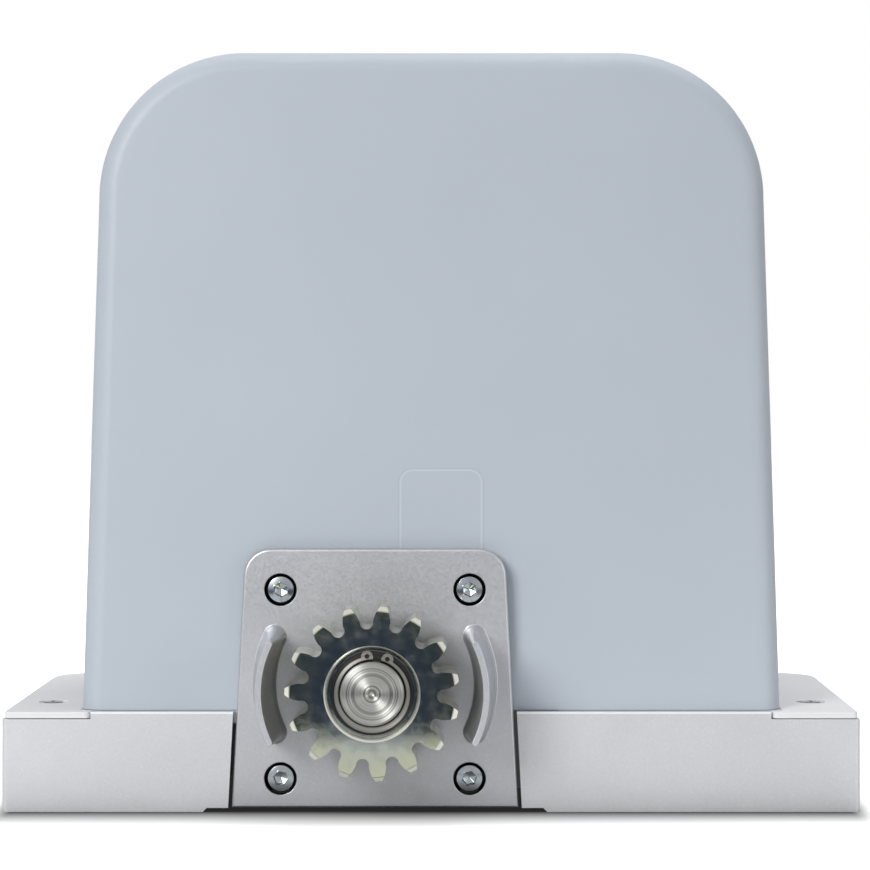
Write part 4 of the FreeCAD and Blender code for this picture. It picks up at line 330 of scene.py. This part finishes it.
# %% [markdown]
# ## Painted edge light of the knock-out
# A thin panel in the cover's front, above the plate, can be broken out. The step round it would catch the light
# as a faint pale line with a faint darker one round it; here both are painted into the plastic, as a painted
# highlight line and a painted shade line. Both lie at a constant distance from a rounded rectangle: the distance
# is measured from the rectangle's inner corners, which makes the corners of the line round by themselves.

# %% Painted edge light of the knock-out
PANEL_X, PANEL_Z = 3.95 * MM, 88 * MM
PANEL_HALF_X, PANEL_HALF_Z, PANEL_ROUND = 16.45 * MM, 48.6 * MM, 5 * MM
# The pale line is a painted highlight and the darker one a painted shade: start mm, end mm, colour, share.
PANEL_EDGE_LIGHT_LINES = ((-0.5, 0.3, "#d3dbe4", 0.4), (0.4, 0.8, "#98a1ab", 0.3))
cover_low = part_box("cover")[0]


def painted_panel_edge_light(tree, shader):
    """Painted highlight and painted shade lines round the panel. Each has a start and an end in mm from the
    border, a colour and a share.
    """
    folded = vectors(tree, "ABSOLUTE", vectors(tree, "SUBTRACT", own_place(tree), (PANEL_X, 0, PANEL_Z)))
    past = vectors(tree, "SUBTRACT", folded, (PANEL_HALF_X - PANEL_ROUND, 0, PANEL_HALF_Z - PANEL_ROUND))
    clear = vectors(tree, "MAXIMUM", past, (0, 0, 0))
    reach = vectors(tree, "LENGTH", vectors(tree, "MULTIPLY", clear, (1, 0, 1)))
    front = below(tree, own_axes(tree)["Y"], cover_low.y + 9 * MM, 1 * MM)
    for start, end, shade, share in PANEL_EDGE_LIGHT_LINES:
        line = band(tree, reach, PANEL_ROUND + start * MM, PANEL_ROUND + end * MM, 0.15 * MM)
        weight = maths(tree, "MULTIPLY", maths(tree, "MULTIPLY", line, front), share)
        paint_over(tree, shader, weight, shade)


# Paints the highlight and shade lines round the knock-out into the cover's plastic.
painted_panel_edge_light(cover_plastic.node_tree, cover_plastic.node_tree.nodes["Principled BSDF"])
print("knock-out border drawn in", len(PANEL_EDGE_LIGHT_LINES), "lines")

# %% [markdown]
# ## Turned and plated steel
# The pinion and the shaft end were faced on a lathe. The tool leaves fine grooves about the shaft's axis, and
# every groove throws light towards or away from the middle, so a turned face shows bright streaks that run out
# from its centre. That is an anisotropic gloss whose tangent points outwards. Coarser rings, where the feed
# changed, come from noise that reads only the distance from the axis. The pinion then got a zinc coat,
# passivated to a pale yellow-green that drifts to rust and blue where the film is thin.

# %% Machined metals
shaft_low, shaft_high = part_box("output_shaft")
shaft_x = (shaft_low.x + shaft_high.x) / 2
shaft_z = (shaft_low.z + shaft_high.z) / 2
pinion_low, pinion_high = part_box("drive_pinion")
PINION_TIP = (pinion_high.x - pinion_low.x) / 2
washer_low, washer_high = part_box("retaining_washer")
RECESS = (washer_high.x - washer_low.x) / 2 + 1 * MM
SHAFT_GROOVES_MM = ((1.3, 0.35), (3.1, 0.25), (7.4, 0.22), (9.9, 0.12))
RING_GAP_SHADE_MM = (12.0, 13.2)
FILM_STOPS = ((0.34, "#8fa39b"), (0.44, "#b9c2a8"), (0.52, "#c7c6a0"), (0.60, "#b99b76"), (0.66, "#8c5f4a"))


def from_axis(tree):
    """The way outwards from the output shaft's axis: the place less the axis, flattened along Y."""
    away = vectors(tree, "SUBTRACT", own_place(tree), (shaft_x, 0, shaft_z))
    return vectors(tree, "MULTIPLY", away, (1, 0, 1))


def axis_distance(tree):
    """The distance from the output shaft's axis."""
    return vectors(tree, "LENGTH", from_axis(tree))


def lathe_rings(tree, pitch_mm):
    """Noise along the distance from the shaft's axis: rings about pitch_mm apart."""
    return add(tree, "TexNoise", {"W": axis_distance(tree), "Scale": 1 / (pitch_mm * MM), "Detail": 2.0},
               noise_dimensions="1D", normalize=True).outputs["Fac"]


def faced_metal(name, dark, light, rough_low, rough_high, streak, pitch_mm=0.9, depth_mm=0.006,
                grooves_mm=(), shaded_mm=None):
    """Metal faced on a lathe: rings in bump, tone and gloss, gloss streaked outwards, and grooves given by
    radius and half width. A band of radii can get painted shade, where a ring sits in its groove against the
    shaft."""
    material, tree, shader = finish(name, light, rough_low, metallic=1.0, Anisotropic=streak)
    rings = lathe_rings(tree, pitch_mm)
    radius = axis_distance(tree)
    for at_mm, half_mm in grooves_mm:
        line = band(tree, radius, (at_mm - half_mm) * MM, (at_mm + half_mm) * MM, 0.12 * MM)
        rings = maths(tree, "MULTIPLY_ADD", line, -0.55, rings)
    toned = tint(tree, remap(tree, rings, 0.2, 0.62), dark, light)
    # Painted shade: a near-black band of radii.
    if shaded_mm:
        gap_shade = band(tree, radius, shaded_mm[0] * MM, shaded_mm[1] * MM, 0.2 * MM)
        toned = tint(tree, gap_shade, toned, "#1d1d1c")
    tree.links.new(toned, shader.inputs["Base Color"])
    tree.links.new(remap(tree, rings, 0.3, 0.7, rough_low, rough_high), shader.inputs["Roughness"])
    outwards = add(tree, "VectorTransform", {0: from_axis(tree)}, vector_type="VECTOR",
                   convert_from="OBJECT", convert_to="WORLD").outputs[0]
    tree.links.new(vectors(tree, "NORMALIZE", outwards), shader.inputs["Tangent"])
    relief(tree, shader, rings, depth_mm, 0.7)
    return material


def plain_metal(name, dark, light, rough_low, rough_high, grain_mm=1.2, depth_mm=0.006):
    """Rolled, cast or ground metal without rings. Clouds nine grains across shift its tint and its gloss."""
    material, tree, shader = finish(name, light, rough_low, metallic=1.0)
    cloud = grain(tree, grain_mm * 9, 3.0)
    tree.links.new(tint(tree, remap(tree, cloud, 0.3, 0.7), dark, light), shader.inputs["Base Color"])
    tree.links.new(remap(tree, cloud, 0.3, 0.75, rough_low, rough_high), shader.inputs["Roughness"])
    relief(tree, shader, grain(tree, grain_mm), depth_mm)
    return material


def passivated_zinc():
    """Zinc plate on turned steel. The faces are clear, the flanks carry a film that drifts through its colours,
    and the chamfers at the tips and round the recess were cut last to bare steel; they carry a near-white
    painted highlight."""
    material, tree, shader = finish("passivated zinc on turned steel", "#b3b5a2", 0.1, metallic=1.0)
    film = add(tree, "ValToRGB", {"Fac": grain(tree, 7)})
    stops = film.color_ramp.elements
    for stop, (position, shade) in zip(stops, (FILM_STOPS[0], FILM_STOPS[-1])):
        stop.position, stop.color = position, colour(shade)
    for position, shade in FILM_STOPS[1:-1]:
        stops.new(position).color = colour(shade)
    radius = axis_distance(tree)
    drift = maths(tree, "MULTIPLY_ADD", grain(tree, 14), 8 * MM, radius)
    clear = tint(tree, remap(tree, drift, RECESS + 4 * MM, PINION_TIP + 3 * MM), "#abb4b2", "#c0c2a8")
    normal = add(tree, "SeparateXYZ", {0: add(tree, "TexCoord").outputs["Normal"]}).outputs["Y"]
    facing = maths(tree, "ABSOLUTE", normal)
    plated = tint(tree, remap(tree, facing, 0.3, 0.6), film.outputs["Color"], clear)
    tips = above(tree, radius, PINION_TIP - 1.4 * MM, 0.2 * MM)
    ring = band(tree, radius, RECESS + 0.1 * MM, RECESS + 1.3 * MM, 0.1 * MM)
    front = below(tree, own_axes(tree)["Y"], pinion_low.y + 1.7 * MM, 0.2 * MM)
    slope = band(tree, facing, 0.3, 0.95, 0.03)
    # Painted highlight: where the front chamfers at the tips and round the recess slope, the colour turns near
    # white.
    cut = maths(tree, "MULTIPLY", maths(tree, "MAXIMUM", tips, ring), front)
    bright = maths(tree, "MULTIPLY", cut, slope)
    tree.links.new(tint(tree, bright, plated, "#f6f6ea"), shader.inputs["Base Color"])
    tree.links.new(remap(tree, grain(tree, 5, 3.0), 0.4, 0.75, 0.07, 0.16), shader.inputs["Roughness"])
    relief(tree, shader, lathe_rings(tree, 0.8), 0.002)
    return material


pinion_zinc = passivated_zinc()
shaft_steel = faced_metal("faced shaft steel", "#8e8e89", "#cbcbc6", 0.30, 0.44, 0.93, pitch_mm=0.55,
                          depth_mm=0.012, grooves_mm=SHAFT_GROOVES_MM)
screw_steel = plain_metal("bright zinc plated screw steel", "#a3aab0", "#bfc6cb", 0.14, 0.24, 0.8)
# The circlip gets a band of painted shade at its inner edge, against the shaft.
ring_steel = faced_metal("ground spring steel", "#8f8e88", "#aaa9a2", 0.3, 0.42, 0.85,
                         shaded_mm=RING_GAP_SHADE_MM)
# Painted shade: the washer deep in the pinion's recess is coloured near black for the recess's shade.
washer_steel = faced_metal("washer steel darkened as painted shade", "#3b3b39", "#4c4c49", 0.3, 0.45, 0.85)
spring_steel = plain_metal("black oiled spring steel", "#3a3a3b", "#4a4a4b", 0.3, 0.42, 0.8)
bare_aluminium = plain_metal("bare cast aluminium", "#a2a3a5", "#b6b7b9", 0.42, 0.55, 0.9, 0.03)
zinc_sheet = plain_metal("galvanised sheet", "#a8adb0", "#bfc4c7", 0.32, 0.5, 2.5, 0.004)
lamination = plain_metal("stacked electrical steel", "#4b4c4e", "#626366", 0.4, 0.5, 0.6, 0.02)
bronze = faced_metal("cast bronze with cut teeth", "#a87b42", "#bd8f52", 0.28, 0.4, 0.4)
brass = plain_metal("polished brass", "#b8954f", "#cfae68", 0.2, 0.3)
print("metals ready, the shaft's axis at", round(shaft_x, 4), round(shaft_z, 4))

# %% [markdown]
# ## Copper, paint, rubber and board
# Windings are enamelled copper, the motor shell is painted black, seals are nitrile rubber, and the control
# board is glass fibre under green solder mask. Apart from the pinion's oil seal, all of these sit under the
# cover and show when it is lifted.

# %% Finishes under the cover
WIRE_PITCH_MM = 0.9
WAVE_PERIOD = 0.314
TRACKS_SCALE = 60.0


def enamelled_copper():
    """Enamelled copper wire wound in layers: a fine wave stands for the wires. Blender's wave repeats every
    0.314 of its scaled length, so its scale is that over the pitch."""
    material, tree, shader = finish("enamelled copper windings", "#b0603a", 0.3, metallic=0.9)
    wires = add(tree, "TexWave", {"Vector": own_place(tree), "Scale": WAVE_PERIOD / (WIRE_PITCH_MM * MM),
                                  "Distortion": 1.5, "Detail": 1.0},
                wave_type="BANDS", bands_direction="Z").outputs["Fac"]
    tree.links.new(tint(tree, wires, "#7c3f24", "#c47348"), shader.inputs["Base Color"])
    relief(tree, shader, wires, 0.25, 0.8)
    return material


def matt_rubber():
    """Nitrile rubber: almost black, matt, with a faint bloom."""
    material, tree, shader = finish("black nitrile rubber", "#161616", 0.7)
    bloom = remap(tree, grain(tree, 4, 3.0), 0.3, 0.7)
    tree.links.new(tint(tree, bloom, "#121212", "#1f1f1f"), shader.inputs["Base Color"])
    relief(tree, shader, grain(tree, 0.5), 0.02)
    return material


def solder_mask():
    """Green solder mask over copper tracks: the tracks show as slightly paler strips."""
    material, tree, shader = finish("green solder mask", "#0d4a28", 0.25)
    turned = add(tree, "Mapping", {"Vector": own_place(tree), "Rotation": (math.pi / 2, 0, 0)})
    tracks = add(tree, "TexBrick", {"Vector": turned.outputs["Vector"], "Scale": TRACKS_SCALE,
                                    "Mortar Size": 0.03, "Mortar": colour("#1d6b3e"),
                                    "Color1": colour("#0d4a28"), "Color2": colour("#0f522d")})
    tree.links.new(tracks.outputs["Color"], shader.inputs["Base Color"])
    relief(tree, shader, tracks.outputs["Fac"], 0.04)
    return material


copper = enamelled_copper()
rubber = matt_rubber()
board_mask = solder_mask()
motor_paint = painted_casting("black enamel on the motor shell", "#141415", "#1c1c1e", 0.0)[0]
gasket_fibre = moulded_plastic("pressed fibre gasket", "#4c4f48", "#5c5f57", 0.75, 1.2, 0.03)
print("inner finishes ready")

# %% [markdown]
# ## Dressing the solid parts
# A solid part arrives as loose triangles with hard shading. A copy is welded, edges sharper than 28 degrees stay
# crisp, and face-weighted normals keep the big flats flat while the rounds shade smoothly. The outer castings
# and the ear caps also have their flat neighbours joined into whole faces and get a small bevel, because no real
# edge is sharp, and that bevel is what catches the light.

# %% Dress every node
WELD_DISTANCE, SLIVER_LENGTH = 2e-6, 1e-6
FLAT_DEGREES, CREASE_DEGREES, BEVEL_DEGREES = 0.3, 28, 35
BEVEL_SEGMENTS, FLAT_FACE_WEIGHT = 2, 90


def shade_smooth(work, crease_degrees):
    """Shades a mesh smoothly, with edges over the given angle kept crisp."""
    for face in work.faces:
        face.smooth = True
    for edge in work.edges:
        edge.smooth = len(edge.link_faces) == 2 and edge.calc_face_angle(0) < math.radians(crease_degrees)


def dressed(name, material, bevel_mm=0.0):
    """A welded, smooth-shaded copy of a solid part that stands for it."""
    source = nodes[name]
    mesh = source.data.copy()
    mesh.materials.clear()
    mesh.materials.append(material)
    work = bmesh.new()
    work.from_mesh(mesh)
    bmesh.ops.remove_doubles(work, verts=work.verts, dist=WELD_DISTANCE)
    bmesh.ops.dissolve_degenerate(work, dist=SLIVER_LENGTH, edges=work.edges)
    if bevel_mm:
        bmesh.ops.dissolve_limit(work, angle_limit=math.radians(FLAT_DEGREES), verts=work.verts,
                                 edges=work.edges)
    shade_smooth(work, CREASE_DEGREES)
    work.to_mesh(mesh)
    work.free()
    piece = bpy.data.objects.new(f"{name}_dressed", mesh)
    bpy.context.scene.collection.objects.link(piece)
    if bevel_mm:
        bevel = piece.modifiers.new("worn edges", "BEVEL")
        bevel.width = bevel_mm * MM
        bevel.segments = BEVEL_SEGMENTS
        bevel.limit_method = "ANGLE"
        bevel.angle_limit = math.radians(BEVEL_DEGREES)
        bevel.miter_outer = "MITER_ARC"
        bevel.use_clamp_overlap = True
    weights = piece.modifiers.new("flat faces stay flat", "WEIGHTED_NORMAL")
    weights.keep_sharp = True
    weights.weight = FLAT_FACE_WEIGHT
    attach(piece, source["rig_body"])
    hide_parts(name)
    return piece


slot_of = {entry["node"]: entry["material_slot"] for entry in frame["record"]["subparts"]}
finish_of_slot = {
    "painted_cast": base_paint, "cover_abs": cover_plastic, "cap_plastic": cap_plastic,
    "cast_aluminium": bare_aluminium, "zinc_steel": pinion_zinc, "turned_steel": shaft_steel,
    "screw_steel": screw_steel, "black_steel": spring_steel, "bronze": bronze, "copper": copper,
    "lamination": lamination, "motor_paint": motor_paint, "zinc_sheet": zinc_sheet, "seal_rubber": rubber,
    "gasket_fibre": gasket_fibre, "board": board_mask, "terminal_plastic": terminal_plastic,
    "relay_plastic": relay_plastic, "capacitor_plastic": can_plastic, "sensor_plastic": black_plastic,
}
own_finish = {"gearbox_front_plate": shaded_plate_paint, "lock_plug": brass, "retaining_washer": washer_steel,
              "pinion_circlip": ring_steel}
edge_wear_mm = {"base_casting": 0.7, "left_ear_cap": 0.5, "right_ear_cap": 0.5, "gearbox_front_plate": 0.35,
                "release_lever": 0.8}
pieces = {}
for name in sorted(nodes):
    pieces[name] = dressed(name, own_finish.get(name, finish_of_slot[slot_of[name]]),
                           edge_wear_mm.get(name, 0.0))
print(len(pieces), "parts dressed")

# %% [markdown]
# ## Floor
# The motor stands a third of a metre behind the front edge of a white table that runs into white behind it. In
# front of the table the room is dark, and that is what the upper part of the polished pinion mirrors; its lower
# part mirrors the table. The shade that any heavy object has where it meets the table is deepened by a ramp on
# the distance from the base, because a bright table alone would wash it out.

# %% Floor
TABLE_EDGE = base_low.y - 335 * MM
TABLE_SIDE, ROOM_WIDTH, ROOM_DEPTH, ROOM_DROP = 8, 3, 1.5, 0.002
TABLE_GLOW, GLOW_RISE_DEPTH = 0.6, 0.5
SHADE_REACH, SHADE_SIDE_FACTOR, SHADE_DEEPEST = 45 * MM, 4, 0.03
FOOT = (base_high.x - 4 * MM, base_high.y - 1 * MM, 0)


def flat_sheet(name, corner, along, across):
    """A rectangle from a corner and its two sides, facing the way of along x across."""
    corner, along, across = np.array(corner), np.array(along), np.array(across)
    points = np.stack([corner, corner + along, corner + along + across, corner + across])
    mesh = bpy.data.meshes.new(name)
    mesh.from_pydata(points.tolist(), [], [(0, 1, 2, 3)])
    sheet = bpy.data.objects.new(name, mesh)
    bpy.context.scene.collection.objects.link(sheet)
    return sheet


def contact_shade(tree):
    """Near 0 at the foot of the base, rising evenly to 1 at 45 mm in front of it and 11 mm beside it. The
    base stands in the middle, so folded coordinates serve all four of its sides."""
    folded = vectors(tree, "ABSOLUTE", own_place(tree))
    clear = vectors(tree, "MAXIMUM", vectors(tree, "SUBTRACT", folded, FOOT), (0, 0, 0))
    reach = vectors(tree, "LENGTH", vectors(tree, "MULTIPLY", clear, (SHADE_SIDE_FACTOR, 1, 0)))
    return remap(tree, reach, 0, SHADE_REACH, SHADE_DEEPEST, 1)


def white_table():
    """A matt white table. Camera rays also see it glow, more so far behind, so that it runs into pure white."""
    material, tree, shader = finish("matt white table", "#f2f2f2", 0.9, Specular_IOR_Level=0.0)
    shade = contact_shade(tree)
    tree.links.new(tint(tree, shade, "#000000", "#f2f2f2"), shader.inputs["Base Color"])
    level = remap(tree, own_axes(tree)["Y"], base_high.y, base_high.y + GLOW_RISE_DEPTH, TABLE_GLOW, 1.0)
    seen = maths(tree, "MULTIPLY", add(tree, "LightPath").outputs["Is Camera Ray"], level)
    shader.inputs["Emission Color"].default_value = (1, 1, 1, 1)
    tree.links.new(maths(tree, "MULTIPLY", seen, shade), shader.inputs["Emission Strength"])
    return material


table = flat_sheet("table", (-TABLE_SIDE / 2, TABLE_EDGE, 0), (TABLE_SIDE, 0, 0), (0, TABLE_SIDE, 0))
table.data.materials.append(white_table())

room_floor = flat_sheet("room_floor", (-ROOM_WIDTH / 2, TABLE_EDGE, -ROOM_DROP), (0, -ROOM_DEPTH, 0),
                        (ROOM_WIDTH, 0, 0))
room_floor.data.materials.append(finish("dark room floor", "#3a4252", 0.9, Specular_IOR_Level=0.0)[0])
room_floor.visible_camera = False
print("table edge at y =", round(TABLE_EDGE, 3))

# %% [markdown]
# ## World and lamps
# The room is white. The camera sees it at full strength, polished metal mirrors it a third darker, and matt
# surfaces get only a quarter of it, which leaves room for three lamps. A large soft one at the upper left models
# the rounds, a weak one at the right opens the shadows, and one above lights the tops. The one above stays out
# of mirrors, because its reflection would whiten the cover's top edge.

# %% World and lamps
ROOM_SEEN, ROOM_MIRRORED, ROOM_LIGHT = 1.0, 0.68, 0.26
MOTOR_MIDDLE = (0, 0, 0.12)

world = bpy.data.worlds.new("studio")
bpy.context.scene.world = world
world.use_nodes = True
sky = world.node_tree
rays = add(sky, "LightPath").outputs
mirror = maths(sky, "MAXIMUM", rays["Is Glossy Ray"], rays["Is Transmission Ray"])
around = add(sky, "Mix", {0: mirror, 2: ROOM_LIGHT, 3: ROOM_MIRRORED}, data_type="FLOAT").outputs[0]
strength = add(sky, "Mix", {0: rays["Is Camera Ray"], 2: around, 3: ROOM_SEEN}, data_type="FLOAT").outputs[0]
background = sky.nodes["Background"]
background.inputs["Color"].default_value = (1, 1, 1, 1)
sky.links.new(strength, background.inputs["Strength"])


def softbox(name, place, size, watts):
    """A square area lamp that points at the middle of the motor."""
    data = bpy.data.lights.new(name, "AREA")
    data.size = size
    data.energy = watts
    lamp = bpy.data.objects.new(name, data)
    lamp.location = place
    toward = np.array(MOTOR_MIDDLE) - np.array(place)
    yaw = math.atan2(toward[1], toward[0]) - math.pi / 2
    pitch = math.atan2(toward[2], math.hypot(toward[0], toward[1]))
    lamp.rotation_euler = (pitch + math.pi / 2, 0, yaw)
    bpy.context.scene.collection.objects.link(lamp)
    return lamp


softbox("key", (-1.05, -1.78, 1.0), size=0.9, watts=30)
softbox("fill", (1.3, -1.2, 0.35), size=0.8, watts=4)
top_lamp = softbox("top", (0.25, 0.3, 1.85), size=1.2, watts=18)
top_lamp.visible_glossy = False
print("lamps:", sorted(light.name for light in bpy.data.lights))

# %% [markdown]
# ## The knock-out in the cover
# The moulder leaves a thin panel above the plate, to be broken out where a cable or a conduit needs room. On the
# part it is sunk by a third of a millimetre. Seen from the front that reads as a hard groove, so here the panel
# is brought nearly flush, and the light and shade of its border are the painted lines drawn in the plastic
# above.
# The wall leans back by the mould's draft, so how deep a corner lies is measured from the leaning wall.

# %% Nearly flush panel
DRAFT = math.tan(math.radians(1.617))
PANEL_LIFT, PANEL_MARGIN = 0.3 * MM, 0.3 * MM
SUNK_LEAST, SUNK_MOST = 0.2 * MM, 0.5 * MM

cover_mesh = pieces["cover"].data
where = np.empty(len(cover_mesh.vertices) * 3)
cover_mesh.vertices.foreach_get("co", where)
where = where.reshape(-1, 3)
sunk = where[:, 1] - (cover_low.y + DRAFT * (where[:, 2] - cover_low.z))
panel = np.abs(where[:, 0] - PANEL_X) < PANEL_HALF_X + PANEL_MARGIN
panel &= where[:, 2] < PANEL_Z + PANEL_HALF_Z + PANEL_MARGIN
panel &= (sunk > SUNK_LEAST) & (sunk < SUNK_MOST)
where[panel, 1] -= PANEL_LIFT
cover_mesh.vertices.foreach_set("co", where.reshape(-1))
cover_mesh.update()
print("panel corners moved:", int(panel.sum()))

# %% [markdown]
# ## Socket screws
# The four screws of the plate carry most of the sparkle beside the pinion. A socket head is turned with a
# slightly domed face, so it gathers the whole room into a small bright disc, and the hexagon is broached into
# it. One grid of angle by profile makes the whole head: every ring has its radius and depth, and the rings of
# the socket take a hexagon's radius, which is the flat's distance over the cosine of the angle from the flat's
# middle.

# %% Plate screws
HEAD_RADIUS, HEAD_LENGTH, DOME_DEPTH = 5.5 * MM, 6 * MM, 0.55 * MM
HEXAGON_FLAT, SOCKET_DEPTH, TIP_RADIUS = 2.5 * MM, 3.5 * MM, 0.05 * MM
SHANK_RADIUS, SCREW_LENGTH = 3 * MM, 25 * MM
COLUMNS, SCREW_CREASE_DEGREES = 72, 40
SCREW_TURNS = (0.35, 1.1, 0.72, 0.1)


def socket_screw(x, z, face, turn):
    """A socket head screw along +Y, as a grid of rings by angle. The profile runs from the bottom of the
    socket over the dome to the screw's tip, and each ring is (round radius, hexagon's flat, depth)."""
    socket = [(TIP_RADIUS, 0, SOCKET_DEPTH + 0.9 * MM), (1.2 * MM, 0, SOCKET_DEPTH + 0.6 * MM),
              (0, HEXAGON_FLAT * 0.98, SOCKET_DEPTH + 0.1 * MM), (0, HEXAGON_FLAT, SOCKET_DEPTH),
              (0, HEXAGON_FLAT, 0.45 * MM), (0, HEXAGON_FLAT * 1.07, 0.15 * MM)]
    dome = [(math.sin(a) * HEAD_RADIUS * 0.93, 0, DOME_DEPTH * math.sin(a) ** 2)
            for a in np.linspace(math.radians(38), math.radians(90), 9)]
    outside = [(HEAD_RADIUS * 0.975, 0, 0.75 * MM), (HEAD_RADIUS, 0, 1.1 * MM),
               (HEAD_RADIUS, 0, HEAD_LENGTH - 0.1 * MM), (SHANK_RADIUS, 0, HEAD_LENGTH),
               (SHANK_RADIUS, 0, SCREW_LENGTH - 0.1 * MM), (TIP_RADIUS, 0, SCREW_LENGTH)]
    rounds, flats, depths = np.array(socket + dome + outside).T[:, :, None]
    angle = np.linspace(0, 2 * math.pi, COLUMNS, endpoint=False)
    hexagon = 1 / np.cos((angle + math.pi / 6) % (math.pi / 3) - math.pi / 6)
    radius = rounds + flats * hexagon
    return np.stack([x + radius * np.cos(angle + turn), face + np.repeat(depths, COLUMNS, 1),
                     z + radius * np.sin(angle + turn)], -1)


def closed_tubes(name, grids):
    """One mesh from several grids of rings. Each ring closes on itself, and the faces look outwards."""
    vertices, quads, base = [], [], 0
    for points in grids:
        rows, columns = points.shape[:2]
        index = base + np.arange(rows * columns).reshape(rows, columns)
        after = np.roll(index, -1, axis=1)
        quads.append(np.stack([index[:-1], index[1:], after[1:], after[:-1]], -1).reshape(-1, 4))
        vertices.append(points.reshape(-1, 3))
        base += rows * columns
    mesh = bpy.data.meshes.new(name)
    mesh.from_pydata(np.concatenate(vertices).tolist(), [], np.concatenate(quads).tolist())
    work = bmesh.new()
    work.from_mesh(mesh)
    shade_smooth(work, SCREW_CREASE_DEGREES)
    work.to_mesh(mesh)
    work.free()
    piece = bpy.data.objects.new(name, mesh)
    bpy.context.scene.collection.objects.link(piece)
    return piece


corners = [(side, level) for side in (-1, 1) for level in (-1, 1)]
heads = [socket_screw(screw_middle[0] + side * screw_square, screw_middle[1] + level * screw_square,
                      screw_low.y, turn) for (side, level), turn in zip(corners, SCREW_TURNS)]
screws = closed_tubes("plate_socket_screws", heads)
screws.data.materials.append(screw_steel)
bpy.data.objects.remove(pieces.pop("plate_screws"))
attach(screws, nodes["plate_screws"]["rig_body"])
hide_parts("plate_screws")
print("socket screws:", len(screws.data.polygons), "faces, front at y =", round(screw_low.y, 4))
